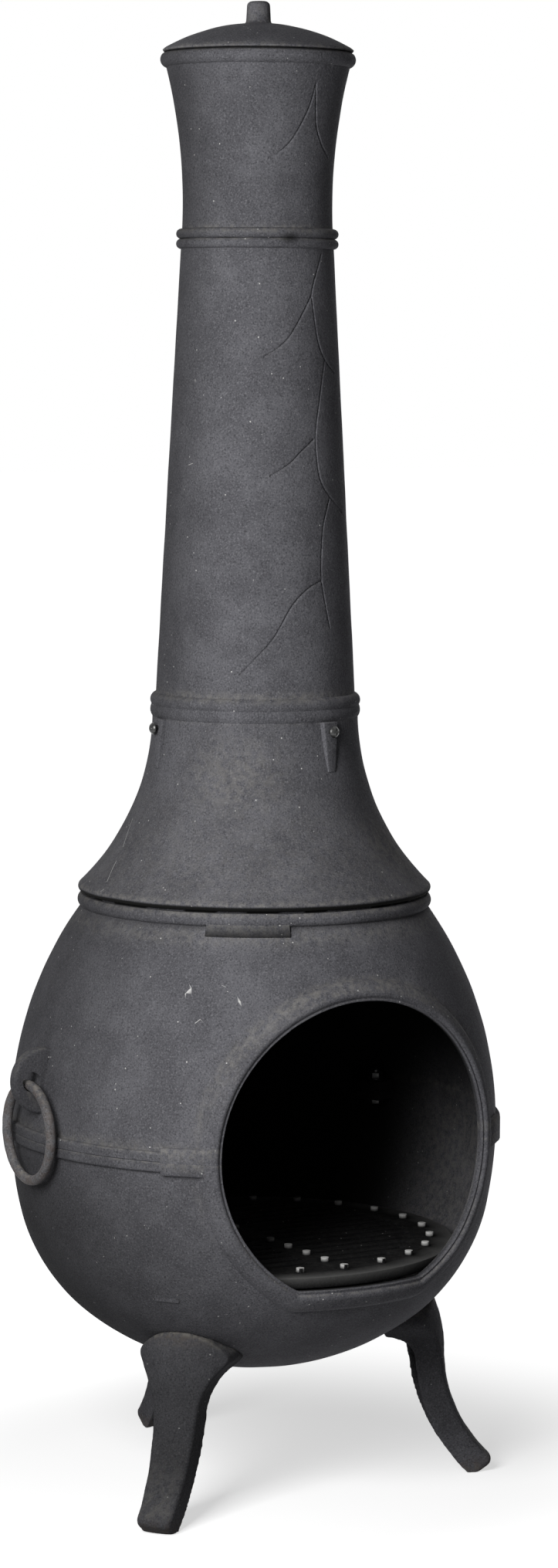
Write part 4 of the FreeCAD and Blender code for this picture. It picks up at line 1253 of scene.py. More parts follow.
    def past_edge(self, across: float, height: float) -> tuple[float, Vector]:
        """Measure how far outside the mouth's edge a point of the front view lies.

        Args:
            across: The point's way across.
            height: Its height.

        Returns:
            Its distance past the edge, and the direction away from it as (across, height).
        """
        corner, corner_turn, _ = self.mouth_turns()
        centre, bend = Vector((0.0, self.mouth_height)), self.mouth_radius
        if math.degrees(math.atan2(height - self.mouth_height, abs(across))) < corner_turn - 90.0:
            if abs(across) <= corner[0]:
                return self.sill - height, Vector((0.0, -1.0))
            centre, bend = Vector((math.copysign(corner[0], across), corner[1])), self.corner
        away = Vector((across, height)) - centre
        return away.length - bend, away.normalized()

    def depth_at(self, spot: Vector) -> float:
        """Give how far in front of the axis the belly's face lies at (across, height)."""
        return math.sqrt(self.radius_at(spot.y) ** 2 - spot.x**2)

    def lay_on(self, vert: BMVert) -> None:
        """Move a point of the flat collar out to the belly's face.

        Args:
            vert: Point to move; its way towards the mouth's side is its height above the face.
        """
        spot, proud = Vector((vert.co.x, vert.co.z)), -vert.co.y
        past, away = self.past_edge(spot.x, spot.y)
        if past > 0.0:
            edge = spot - away * past
            spot = edge + away * past / math.hypot(1.0, self.depth_at(edge) - self.depth_at(edge + away))
        if spot.y < self.sill:
            spot.y = self.sill - (self.sill - spot.y) * self.sill_growth
        depth = self.depth_at(spot)
        run = self.depth_at(spot + Vector((1.0, 0.0))) - depth
        rise = self.depth_at(spot + Vector((0.0, 1.0))) - depth
        lean = min(math.sqrt(1.0 + run * run + rise * rise), 1.4)
        ragged = 0.7 * noise.noise(Vector((spot.x, spot.y, 3.0)) / 6.0) * ease(2.6, 0.5, abs(proud))
        vert.co = Vector((spot.x, -depth - proud * lean + ragged, spot.y))

    def collar_half(self, up: float) -> BMesh:
        """Give the collar's stretch above the seam, or with -1 below it."""
        return cut_off(self.collar(), Vector((0.0, 0.0, self.seam)), Vector((0.0, 0.0, up)))

    def seam_pads(self, up: float) -> list[BMesh]:
        """Make the pads beside the mouth that lie across the seam.

        Args:
            up: 1 for the stretch above the seam and -1 for the one below.

        Returns:
            One pad on each side.
        """
        half = self.pad_width / 2.0
        low = Vector((self.radius - self.wall / 2.0, -half, self.pad_low))
        high = Vector((self.radius + self.pad_proud, half, self.pad_high))
        pads = [block(low, high, side * self.pad_bearing, 3.2) for side in (-1.0, 1.0)]
        return [cut_off(pad, Vector((0.0, 0.0, self.seam)), Vector((0.0, 0.0, up))) for pad in pads]

    def seam_lugs(self, low: float, high: float) -> list[BMesh]:
        """Make the bolt lugs inside the seam between two heights."""
        inner = Vector((self.lug_reach, -self.lug_half, low))
        outer = Vector((self.radius - 2.0, self.lug_half, high))
        return [block(inner, outer, turn, 1.5) for turn in self.lug_bearings]

    def ledges(self) -> list[BMesh]:
        """Make the ledges that carry the grate."""
        inner = Vector((self.ledge_reach, -self.ledge_half, self.ledge_low))
        outer = Vector((self.radius_at(self.ledge_root) - 1.5, self.ledge_half, self.ledge_top))
        return [block(inner, outer, turn, 1.5) for turn in self.leg_bearings]

    def bolt_bosses(self) -> list[BMesh]:
        """Make the round bosses under the leg bolts.

        Returns:
            One boss for each leg.
        """
        tilt = math.radians(self.haunch_tilt)
        out = Vector((math.cos(tilt), 0.0, -math.sin(tilt)))
        centre = Vector((self.haunch_centre[0], 0.0, self.haunch_centre[1]))
        middle = centre + out * (self.haunch_arc - self.wall - 0.5)
        lean = out.to_track_quat("Z", "Y").to_matrix().to_4x4()
        places = [turned_to(turn) @ Matrix.Translation(middle) @ lean for turn in self.leg_bearings]
        return [bevelled(cylinder(self.boss_radius, self.boss_height, 40, place), 0.8) for place in places]

    def hood_lugs(self) -> list[BMesh]:
        """Make the lugs inside the rim that the hood's bolts go through."""
        inner = Vector((self.hood_lug_inner, -self.hood_lug_half, self.hood_lug_low))
        outer = Vector((self.hood_lug_outer, self.hood_lug_half, self.hood_lug_top))
        return [block(inner, outer, turn, 1.5) for turn in self.rim_pad_bearings]

    def rim_pads(self) -> list[BMesh]:
        """Make the shallow pads under the rim's bead.

        Returns:
            One curved pad for each hood bolt.
        """
        low, high, proud = self.rim_pad_low, self.rim_pad_high, self.rim_pad_proud
        foot, top = self.radius_at(low), self.radius_at(self.rim - self.rim_bead)
        sweep = math.degrees(self.rim_pad_width / foot)
        pads = []
        for turn in self.rim_pad_bearings:
            outline = Outline(foot - 2.5, low).line(foot + proud, low)
            mesh = outline.line(top + proud, high).line(top - 2.5, high).closed()
            bmesh.ops.rotate(mesh, verts=mesh.verts, matrix=turned_to(turn - sweep / 2.0).to_3x3())
            start = bmesh.ops.contextual_create(mesh, geom=mesh.edges[:])["faces"]
            bmesh.ops.spin(
                mesh, geom=start, cent=(0, 0, 0), axis=(0, 0, 1), angle=math.radians(sweep), steps=16
            )
            bmesh.ops.recalc_face_normals(mesh, faces=mesh.faces)
            pads.append(bevelled(mesh, 1.2, 3))
        return pads

    def ears(self) -> list[BMesh]:
        """Make the round ears that carry the rings.

        Returns:
            One ear on each side, cut off inside the belly's wall.
        """
        centre = Vector((self.radius_at(self.ear_height), 0.0, self.ear_height))
        rise = self.ear_height - self.upper_centre[1]
        out = Vector((centre.x - self.upper_centre[0], 0.0, rise)).normalized()
        across = Matrix.Rotation(math.radians(90.0), 4, "X")
        disc_place = Matrix.Translation(centre) @ across
        eye_place = Matrix.Translation((self.eye_reach, 0.0, self.ear_height)) @ across
        ears = []
        for turn in (-90.0, 90.0):
            disc = bevelled(cylinder(self.ear_radius, self.ear_thickness, 72, disc_place), 2.5, 4, 60.0)
            eye = cylinder(self.eye_radius, 2.0 * self.ear_thickness, 40, eye_place)
            ear = cut_off(Casting(disc).combine(eye, Way.CUT).mesh, centre - out * self.wall / 2.0, out)
            bmesh.ops.rotate(ear, verts=ear.verts, matrix=turned_to(turn).to_3x3())
            ears.append(ear)
        return ears

    def sink_bead(self, casting: Casting) -> Casting:
        """Flatten the seam's bead where it runs under the collar to the mouth's edge.

        Args:
            casting: The plain shell.

        Returns:
            The same shell.
        """
        for vert in casting.mesh.verts:
            face, far = self.radius_at(vert.co.z), reach(vert.co)
            near = vert.co.y < 0.0 and self.past_edge(vert.co.x, vert.co.z)[0] < 0.6 * self.collar_width
            if near and far > face and vert.co.z < self.seam + 2.0 * self.bead_height:
                shrink = (face + 0.12 * (far - face)) / far
                vert.co.x, vert.co.y = vert.co.x * shrink, vert.co.y * shrink
        return casting

    def lamp_lit_patch(self, place: Vector) -> float:
        """Share of the inner wall right of the mouth above the grate where the lamp's light falls in through
        the mouth, which is painted paler as painted light.
        """
        bearing = bearing_of(place)
        return ease(118.0, 92.0, bearing) * ease(0.0, 40.0, bearing) * ease(470.0, 330.0, place.z)

    def soot(self, place: Vector, normal: Vector) -> float:
        """Share of soot on the belly's inside, thinner where painted light falls, of painted shade under the
        rim's bead and on the left, and of painted shade with some dirt on its pads.
        """
        bearing = bearing_of(place)
        # soot inside, thinned to paint the lamp's light on the right inner wall
        inside = ease(0.8, 3.0, self.radius_at(place.z) - reach(place)) * (1.0 - 0.75 * self.lamp_lit_patch(place))
        # the rim pads darkened: painted shade under the bead, with some dirt
        turn = min(abs((bearing - pad + 180.0) % 360.0 - 180.0) for pad in self.rim_pad_bearings)
        raised = ease(0.4, 1.6, reach(place) - self.radius_at(place.z)) * ease(14.6, 14.0, turn)
        pad = raised * ease(self.rim_pad_low - 3.0, self.rim_pad_low, place.z)
        pad *= ease(self.rim_pad_high, self.rim_pad_high - 3.0, place.z)
        # a dark band along the bead's lower edge: painted shade
        groove = 0.5 * band(self.rim - self.rim_bead, 3.0, place.z)
        # darker towards the bottom on the left: painted shade
        low = 0.26 * ease(-15.0, -60.0, bearing) * ease(-178.0, -130.0, bearing) * ease(400.0, 270.0, place.z)
        return max(inside, 0.85 * pad, groove, left_side_shade(place) + low)

    def dust(self, place: Vector, normal: Vector) -> float:
        """Share of dust on upper edges of beads, collar and pads, and of pale dust and painted light on the
        inner wall where the lamp falls.
        """
        proud = reach(place) - self.radius_at(place.z)
        raised = ease(0.6, 2.6, proud) * ease(0.05, 0.7, normal.z)
        ledge = 0.55 * band(self.seam + self.bead_height + 2.0, 6.0, place.z)
        shoulder = 0.3 * band(self.rim_pad_low - 1.0, 13.0, place.z)
        collar = 0.0
        if place.y < -0.6 * self.radius and abs(proud) < self.collar_proud + 2.0:
            past = self.past_edge(place.x, place.z)[0]
            collar = 0.35 * band(0.9 * self.collar_width, 4.0, past) * ease(-0.4, 0.3, normal.z)
        # pale dust and painted light on the lamp-lit inner wall
        pale_dust_and_light = 0.32 * ease(3.0, 4.0, -proud) * self.lamp_lit_patch(place)
        return max(0.42 * raised, ledge, shoulder, collar, pale_dust_and_light)

    def build(self) -> None:
        """Build and dress the two bowls."""
        lower = self.sink_bead(self.lower_skin()).combine(self.mouth_cutter(), Way.CUT).roughen(0.35, 30.0)
        fixings = self.seam_lugs(self.seam - self.lug_height, self.seam) + self.ledges() + self.bolt_bosses()
        lower.combine(joined(fixings), Way.UNITE)
        lower.combine(joined(self.seam_pads(-1.0)), Way.UNITE)
        lower.combine(self.collar_half(-1.0), Way.UNITE)
        self.dress(lower, Body.STOVE, "lower_bowl")
        upper = self.sink_bead(self.upper_skin()).combine(self.mouth_cutter(), Way.CUT)
        upper.roughen(0.35, 30.0, 7.0)
        fixings = self.seam_lugs(self.seam, self.seam + self.lug_height) + self.hood_lugs() + self.ears()
        upper.combine(joined(fixings), Way.UNITE)
        upper.combine(joined(self.rim_pads() + self.seam_pads(1.0)), Way.UNITE)
        upper.combine(self.collar_half(1.0), Way.UNITE)
        upper.scratch(laid(self.scratches, self.radius_at))
        self.dress(upper, Body.STOVE, "upper_bowl")


@dataclass
class Hood(Dressed):
    """The flared hood between the belly and the flue."""

    foot: float = 607.0
    neck: float = 787.0
    tangent: float = 792.0
    arc: float = 244.99
    neck_radius: float = 104.0
    foot_radius: float = 177.54
    rim_height: float = 10.0
    rim_proud: float = 1.4
    wall: float = 4.5
    spigot_radius: float = 164.94
    spigot_bore: float = 159.94
    spigot_depth: float = 12.0
    lip_gap: float = 2.6
    lip_seat: float = 171.5
    boss_bearings: tuple[float, ...] = (14.0, 140.0, 266.0)
    boss_face: float = 108.5
    boss_width: float = 20.0
    boss_height: float = 50.0
    boss_taper: float = 0.5
    boss_lean: float = 2.8
    lug_bearings: tuple[float, ...] = (88.0, 208.0, 328.0)
    lug_inner: float = 134.94
    lug_outer: float = 162.4
    lug_half: float = 15.0
    segments: int = 224

    scratches: tuple[tuple[Point, ...], ...] = (
        ((-103.1, 685.3), (-100.0, 670.7), (-96.9, 658.7)),
        ((-95.0, 645.5), (-93.5, 637.1), (-90.9, 626.6)),
        ((-89.2, 620.0), (-89.8, 617.4)),
    )

    def radius_at(self, height: float, inset: float = 0.0) -> float:
        """Give the flare's radius at a height and a depth inside its face."""
        drop = self.tangent - height
        return self.neck_radius + self.arc - math.sqrt((self.arc + inset) ** 2 - drop * drop)

    def skin(self) -> Casting:
        """Turn the hood's shell.

        Returns:
            The shell.
        """
        rim_top = self.foot + self.rim_height
        middle = (rim_top + self.neck) / 2.0
        bore_offset = self.neck_radius + self.arc - self.spigot_bore
        flare_foot = self.tangent - math.sqrt((self.arc + self.wall) ** 2 - bore_offset**2)
        inner_middle = (flare_foot + self.neck) / 2.0
        spigot_foot = self.foot - self.spigot_depth
        outline = Outline(self.spigot_bore, spigot_foot).line(self.spigot_radius, spigot_foot)
        lip = self.foot + self.lip_gap
        outline.line(self.spigot_radius, self.foot, 3).line(self.lip_seat, self.foot).line(self.lip_seat, lip)
        outline.line(self.foot_radius - 0.8, lip, 2)
        outline.arc((self.foot_radius + self.rim_proud, lip + 3.2), (self.foot_radius, rim_top), 10)
        outline.arc((self.radius_at(middle), middle), (self.radius_at(self.neck), self.neck), 46)
        outline.line(self.radius_at(self.neck, self.wall), self.neck, 2)
        inside = (self.radius_at(inner_middle, self.wall), inner_middle)
        outline.arc(inside, (self.spigot_bore, flare_foot), 40)
        return outline.turned(self.segments)

    def soot(self, place: Vector, normal: Vector) -> float:
        """Share of soot on the hood's inside, and of painted shade on its left."""
        outer = self.radius_at(place.z) if place.z > self.foot else self.spigot_radius
        return max(ease(1.0, 3.2, outer - reach(place)), 0.6 * left_side_shade(place))

    def dust(self, place: Vector, normal: Vector) -> float:
        """Share of dust along the hood's rim and on its boss tops, and of two painted highlights on its right
        flank and front.
        """
        rim = band(self.foot + self.rim_height * 0.8, 7.0, place.z) * ease(-0.1, 0.5, normal.z)
        # painted highlights: a lighter patch low on the right flank and a sheen on the front, where light
        # falls
        flank = band(45.0, 45.0, bearing_of(place)) * band(655.0, 60.0, place.z)
        front = band(-40.0, 45.0, bearing_of(place)) * band(734.0, 65.0, place.z)
        return max(0.5 * rim, 0.12 * ease(0.1, 0.6, normal.z), 0.4 * flank, 0.3 * front)

    def bosses(self) -> list[BMesh]:
        """Make the tapered bosses that the neck's screws go through.

        Returns:
            One boss for each screw.
        """
        inner = Vector((self.neck_radius - 2.2, -self.boss_width / 2.0, self.neck - self.boss_height))
        outer = Vector((self.boss_face, self.boss_width / 2.0, self.neck))
        shape = Matrix.Translation((inner + outer) / 2.0) @ Matrix.Diagonal((*(outer - inner), 1.0))
        bosses = []
        for turn in self.boss_bearings:
            mesh = bmesh.new()
            corners = bmesh.ops.create_cube(mesh, size=1.0, matrix=shape)["verts"]
            foot = [vert for vert in corners if vert.co.z < self.neck - 1.0]
            bmesh.ops.scale(mesh, verts=foot, vec=(1.0, self.boss_taper, 1.0))
            bmesh.ops.translate(mesh, verts=foot, vec=(self.boss_lean, 0.0, 0.0))
            bevelled(mesh, 1.3, 3)
            bmesh.ops.rotate(mesh, verts=mesh.verts, matrix=turned_to(turn).to_3x3())
            bosses.append(mesh)
        return bosses

    def build(self) -> None:
        """Build and dress the hood."""
        lug_low = Vector((self.lug_inner, -self.lug_half, self.foot - self.spigot_depth))
        lug_high = Vector((self.lug_outer, self.lug_half, self.foot))
        lugs = [block(lug_low, lug_high, turn, 1.5) for turn in self.lug_bearings]
        casting = self.skin().roughen(0.4, 32.0, 13.0).combine(joined(self.bosses() + lugs), Way.UNITE)
        casting.scratch(laid(self.scratches, self.radius_at))
        self.dress(casting, Body.STOVE, "hood")


@dataclass
class Flue(Dressed):
    """The two flue sections and the vine that is cut into their faces."""

    neck: float = 787.0
    tail: float = 747.0
    tail_radius: float = 98.35
    tail_bore: float = 93.35
    foot_land: float = 104.0
    foot_bead: float = 106.2
    foot_waist: float = 104.9
    cone_foot: float = 811.0
    cone_top: float = 1255.0
    joint: float = 1265.0
    joint_land: float = 77.5
    joint_bead: float = 81.4
    spigot_foot: float = 1240.0
    spigot_radius: float = 70.9
    spigot_bore: float = 66.9
    top: float = 1449.0
    foot_radius: float = 100.6
    top_radius: float = 76.6
    wall: float = 4.5
    waist: float = 1300.0
    waist_radius: float = 74.9
    flare_arc: float = 549.98
    flare_middle: float = 1350.0
    bore_middle: float = 1360.0
    flare_top: float = 1434.5
    rim_foot: float = 91.6
    rim_middle: float = 1441.75
    rim_bulge: float = 97.7
    rim_edge: float = 95.6
    rim_land: float = 93.5
    segments: int = 240

    lower_vine: tuple[tuple[Point, ...], ...] = (
        ((26, 1250), (14, 1215), (14, 1199), (18, 1165), (25, 1146), (38, 1132)),
        ((25, 1146), (18, 1108), (13, 1074), (13, 1051), (16, 1027), (25, 1010), (41, 993)),
        ((25, 1010), (18, 985), (15, 959), (14, 930), (17, 902), (20, 880)),
        ((13, 1209), (6, 1194), (-6, 1169), (-15, 1157), (-25, 1148)),
        ((11, 1067), (0, 1054), (-8, 1043), (-21, 1031)),
        ((14, 927), (3, 919), (-8, 902), (-19, 872), (-30, 851), (-39, 835)),
    )
    upper_vine: tuple[tuple[Point, ...], ...] = (
        ((11, 1416), (13, 1398), (16, 1376), (24, 1358), (35, 1345)),
        ((11, 1416), (7, 1390), (-6, 1358), (-22, 1342)),
    )
    scratches: tuple[tuple[Point, ...], ...] = (((-79.9, 1040.8), (-75.7, 1042.7)),)

    def lower_radius(self, height: float) -> float:
        """Give the lower section's outer radius at a height."""
        rise = self.cone_top - self.cone_foot
        return self.foot_radius + (self.top_radius - self.foot_radius) * (height - self.cone_foot) / rise

    def upper_radius(self, height: float, inset: float = 0.0) -> float:
        """Give the upper section's radius at a height and a depth inside its face."""
        rise = height - self.waist
        return self.waist_radius + self.flare_arc - math.sqrt((self.flare_arc + inset) ** 2 - rise * rise)

    def lower_skin(self) -> Casting:
        """Turn the lower section with the double bead at its foot.

        Returns:
            The shell.
        """
        bore_top, bore_foot = self.top_radius - self.wall, self.foot_radius - self.wall
        outline = Outline(self.tail_bore, self.tail).line(self.tail_radius, self.tail, 2)
        outline.line(self.tail_radius, self.neck, 8).line(self.foot_land, self.neck, 2)
        outline.arc((self.foot_bead, self.neck + 6.0), (self.foot_waist, self.neck + 12.0), 10)
        outline.arc((self.foot_bead, self.neck + 18.0), (self.foot_radius, self.cone_foot), 10)
        outline.line(self.top_radius, self.cone_top, 110)
        outline.arc((self.joint_bead, self.joint - 5.0), (self.joint_land, self.joint), 10)
        outline.line(bore_top, self.joint, 2).line(bore_top, self.cone_top, 2)
        outline.line(bore_foot, self.cone_foot, 24).line(self.tail_bore, self.neck, 4)
        return outline.line(self.tail_bore, self.tail, 6).turned(self.segments)

    def upper_skin(self) -> Casting:
        """Turn the upper section with its bead and rolled rim.

        Returns:
            The shell.
        """
        foot, lip = self.joint + 10.0, self.upper_radius(self.top, self.wall)
        outline = Outline(self.spigot_bore, self.spigot_foot).line(self.spigot_radius, self.spigot_foot, 2)
        outline.line(self.spigot_radius, self.joint, 4).line(self.joint_land, self.joint, 2)
        outline.arc((self.joint_bead, self.joint + 5.0), (self.upper_radius(foot), foot), 10)
        flank = (self.upper_radius(self.flare_middle), self.flare_middle)
        outline.arc(flank, (self.rim_foot, self.flare_top), 42)
        outline.arc((self.rim_bulge, self.rim_middle), (self.rim_edge, self.top - 1.2), 12)
        outline.line(self.rim_land, self.top).line(lip, self.top, 3)
        inside = (self.upper_radius(self.bore_middle, self.wall), self.bore_middle)
        outline.arc(inside, (self.upper_radius(foot, self.wall), foot), 40)
        outline.line(self.spigot_bore, self.joint, 2).line(self.spigot_bore, self.spigot_foot, 3)
        return outline.turned(self.segments)

    def soot(self, place: Vector, normal: Vector) -> float:
        """Share of soot inside the flue, of painted shade under the lid, on the left and a little over the
        upper section, and of stains on its face.
        """
        outer = self.upper_radius(place.z) if place.z > self.joint else self.lower_radius(place.z)
        # a dark band just under the lid's lip: painted shade
        shade_under_lid = 0.9 * ease(self.top - 2.0, self.top - 0.8, place.z)
        bearing = bearing_of(place)
        streak = 0.36 * band(-75.0, 11.0, bearing) * ease(self.joint, self.joint + 40.0, place.z)
        smear = 0.8 * band(-6.0, 11.0, bearing) * band(self.joint, 10.0, place.z)
        inside = ease(1.6, 3.6, outer - reach(place))
        # painted shade on the left flank, and a little over the upper section
        painted_shade = 0.9 * left_side_shade(place) + (0.06 if place.z > self.joint else 0.0)
        return max(inside, shade_under_lid, streak, smear, painted_shade)

    def dust(self, place: Vector, normal: Vector) -> float:
        """Share of dust on the beads' upper sides."""
        bands = ((self.cone_foot + 1.0, 9.0), (self.neck - 1.0, 4.0), (self.joint + 9.0, 7.0))
        beads = max(band(middle, width, place.z) for middle, width in bands)
        return max(0.42 * beads * ease(-0.6, 0.4, normal.z), 0.35 * ease(0.3, 0.9, normal.z))

    def build(self) -> None:
        """Build and dress the two sections."""
        groove = Groove()
        lower = self.lower_skin().roughen(0.35, 34.0, 21.0)
        for turn in (0.0, 180.0):
            lower.engrave(laid(self.lower_vine, self.lower_radius, turn), groove)
        lower.scratch(laid(self.scratches, self.lower_radius))
        self.dress(lower, Body.STOVE, "lower_flue")
        upper = self.upper_skin().roughen(0.3, 30.0, 27.0)
        for turn in (0.0, 180.0):
            upper.engrave(laid(self.upper_vine, self.upper_radius, turn), groove)
        self.dress(upper, Body.STOVE, "upper_flue")


@dataclass
class Lid(Dressed):
    """The domed lid with its knob."""

    seat: float = 1449.3
    radius: float = 95.3
    lip: float = 3.2
    rise: float = 26.0
    wall: float = 4.0
    skirt_radius: float = 85.89
    skirt_depth: float = 12.0
    knob_foot: float = 12.3
    knob_top: float = 11.5
    knob_round: float = 5.0
    top: float = 1500.0
    segments: int = 144

    def skin(self) -> Casting:
        """Turn the lid with its skirt and knob.

        Returns:
            The closed lid.
        """
        edge = self.seat + self.lip
        dome = (self.radius**2 + self.rise**2) / (2.0 * self.rise)
        centre = (0.0, edge + self.rise - dome)
        foot_tilt = math.degrees(math.acos(self.radius / dome))
        knob_tilt = math.degrees(math.acos((self.knob_foot + 3.0) / dome))
        knob_foot = centre[1] + dome * math.sin(math.radians(knob_tilt))
        inner = dome - self.wall
        bore = self.skirt_radius - self.wall
        inner_tilt = math.degrees(math.acos(bore / inner))
        outline = Outline(0.0, centre[1] + inner).swing(centre, inner_tilt - 90.0, 24)
        skirt_foot = self.seat - self.skirt_depth
        outline.line(bore, skirt_foot, 3).line(self.skirt_radius, skirt_foot, 2)
        outline.line(self.skirt_radius, self.seat, 4).line(self.radius - 3.0, self.seat, 3)
        outline.arc((self.radius - 0.9, self.seat + 0.8), (self.radius, edge - 0.8), 4)
        start = math.radians(foot_tilt + 1.0)
        outline.line(self.radius - 0.8, edge, 2)
        outline.line(dome * math.cos(start), centre[1] + dome * math.sin(start), 2)
        outline.swing(centre, knob_tilt - foot_tilt - 1.0, 30)
        outline.arc((self.knob_foot + 0.7, knob_foot + 1.1), (self.knob_foot, knob_foot + 3.0), 5)
        shoulder = self.top - self.knob_round
        outline.line(self.knob_top, shoulder, 5).swing((self.knob_top - self.knob_round, shoulder), 90.0, 8)
        return outline.line(0.0, self.top, 4).turned(self.segments)

    def soot(self, place: Vector, normal: Vector) -> float:
        """Share of soot under the lid, of painted shade along its lip's lower edge, and of a faint even
        darkening all over.
        """
        under = ease(-0.1, -0.4, normal.z) if reach(place) < self.skirt_radius + 0.5 else 0.0
        # painted shade along the lip's lower edge where it sits on the flue
        return max(under, 0.9 * ease(self.seat + 1.4, self.seat + 0.3, place.z), 0.08)

    def dust(self, place: Vector, normal: Vector) -> float:
        """Share of dust on the lid's edge and round the knob's foot."""
        far = reach(place)
        return 0.35 * band(self.radius, 5.0, far) + 0.3 * band(self.knob_foot + 3.0, 7.0, far)

    def build(self) -> None:
        """Build and dress the lid."""
        casting = self.skin().roughen(0.3, 22.0, 31.0)
        self.dress(casting, Body.LID, "lid")


@dataclass
class CarryingRing:
    """A carrying ring that hangs in an ear's eye."""

    node: str
    body: Body
    side: float
    radius: float = 47.5
    bar: float = 5.0
    reach: float = 257.085
    height: float = 381.347

    def build(self) -> None:
        """Build and dress the ring."""
        mesh = bmesh.new()
        place = Matrix.Translation((0.0, self.radius, 0.0))
        bmesh.ops.create_circle(mesh, segments=28, radius=self.bar, matrix=place)
        spun(mesh, Vector((1.0, 0.0, 0.0)), 120)
        bmesh.ops.translate(mesh, verts=mesh.verts, vec=(self.side * self.reach, 0.0, self.height))
        casting = Casting(mesh).roughen(0.22, 7.0, 41.0 + self.side)
        casting.paint(Tone.DUST_AND_SHEEN, lambda place, normal: 0.5 * ease(0.3, 0.9, normal.z))
        casting.paint(Tone.RUST, lambda place, normal: 0.35)
        casting.finish(f"{self.node}_bar", self.body, Slot.RING, RING_IRON, self.node)


@dataclass
class Leg(Dressed):
    """A channel leg, softened as a sand casting."""

    node: str
    bearing: float
    cell: float = 1.5
    shoulder: float = 190.0

    def dust(self, place: Vector, normal: Vector) -> float:
        """Share of dust on the shoulder's upper edge and the toe."""
        upward = ease(0.2, 0.8, normal.z)
        edge = upward * ease(self.shoulder - 35.0, self.shoulder, place.z)
        return max(edge, 0.45 * upward, 0.3 * ease(14.0, 2.0, place.z))

    def soot(self, place: Vector, normal: Vector) -> float:
        """Share of painted shade on every leg, more on the left leg and on the shanks under the belly."""
        # painted shade, deeper on the left leg and on the shank under the belly
        painted_shade = 0.2 + 0.3 * ease(0.0, -40.0, self.bearing)
        return painted_shade + 0.16 * ease(self.shoulder, self.shoulder - 60.0, place.z) * ease(4.0, 70.0, place.z)

    def rust(self, place: Vector, normal: Vector) -> float:
        """Share of rust near the shoulder and the floor."""
        return max(0.55 * ease(self.shoulder - 18.0, self.shoulder, place.z), 0.5 * ease(22.0, 2.0, place.z))

    def build(self) -> None:
        """Build and dress the leg."""
        casting = Casting.of_node(self.node).remesh(self.cell).smooth(2)
        casting.roughen(0.55, 16.0, 51.0 + self.bearing).roughen(0.2, 4.5, 71.0 + self.bearing)
        self.dress(casting.paint(Tone.RUST, self.rust), Body.STOVE, self.node)


@dataclass
class Grate:
    """The slotted grate with its studs."""

    stud_top: float = 256.07
    plate_top: float = 251.07
    rim: float = 205.3
    edge: float = 0.8
    stud_round: float = 2.4

    def wear(self, place: Vector, normal: Vector) -> float:
        """Share of bare metal on the studs and the rim's front edge; the near-white stud tops are also
        painted highlights, on the outer ring only where light falls in through the mouth.
        """
        far = reach(place)
        # outer-ring studs only where light falls through the mouth: painted highlights on worn tops
        worn_and_lit = 1.0 if far < 0.9 * self.rim else band(72.0, 50.0, bearing_of(place))
        stud = ease(self.stud_top - 1.6, self.stud_top - 0.2, place.z) * worn_and_lit
        rim = ease(self.rim - 2.0, self.rim - 0.5, far) * ease(self.plate_top - 2.0, self.plate_top, place.z)
        return max(stud, 0.16 * rim)

    def build(self) -> None:
        """Build and dress the grate."""
        mesh = Casting.of_node("grate").mesh
        tops = [
            edge for edge in mesh.edges
            if edge.is_manifold and edge.calc_face_angle() > 1.0
            and all(vert.co.z > self.stud_top - 0.1 for vert in edge.verts)
        ]
        casting = Casting(bevelled(round_edges(mesh, tops, self.stud_round, 4), self.edge, 2, 50.0))
        casting.paint(Tone.WEAR_AND_GLINT, self.wear)
        casting.paint(Tone.DUST_AND_SHEEN, lambda place, normal: 0.03 * ease(0.5, 1.0, normal.z))
        casting.finish("grate_casting", Body.GRATE, Slot.GRATE, GRATE_IRON, "grate")


@dataclass
class Fasteners:
    """Sets of bolts, nuts, washers and screws."""

    bolt_nodes: tuple[str, ...] = (
        "seam_bolts", "seam_washers", "seam_nuts", "hood_bolts",
        "hood_nuts", "leg_bolts", "leg_washers", "leg_nuts",
    )
    bolt_edge: float = 0.45
    screw_edge: float = 0.3

    def build(self) -> None:
        """Build and dress every set."""
        for node in self.bolt_nodes:
            casting = Casting(bevelled(Casting.of_node(node).mesh, self.bolt_edge))
            casting.finish(f"{node}_set", Body.STOVE, Slot.BOLT, BOLT_STEEL, node)
        screws = Casting(bevelled(Casting.of_node("neck_screws").mesh, self.screw_edge, 2, 40.0))
        screws.finish("neck_screws_set", Body.STOVE, Slot.SCREW, SCREW_STEEL, "neck_screws")


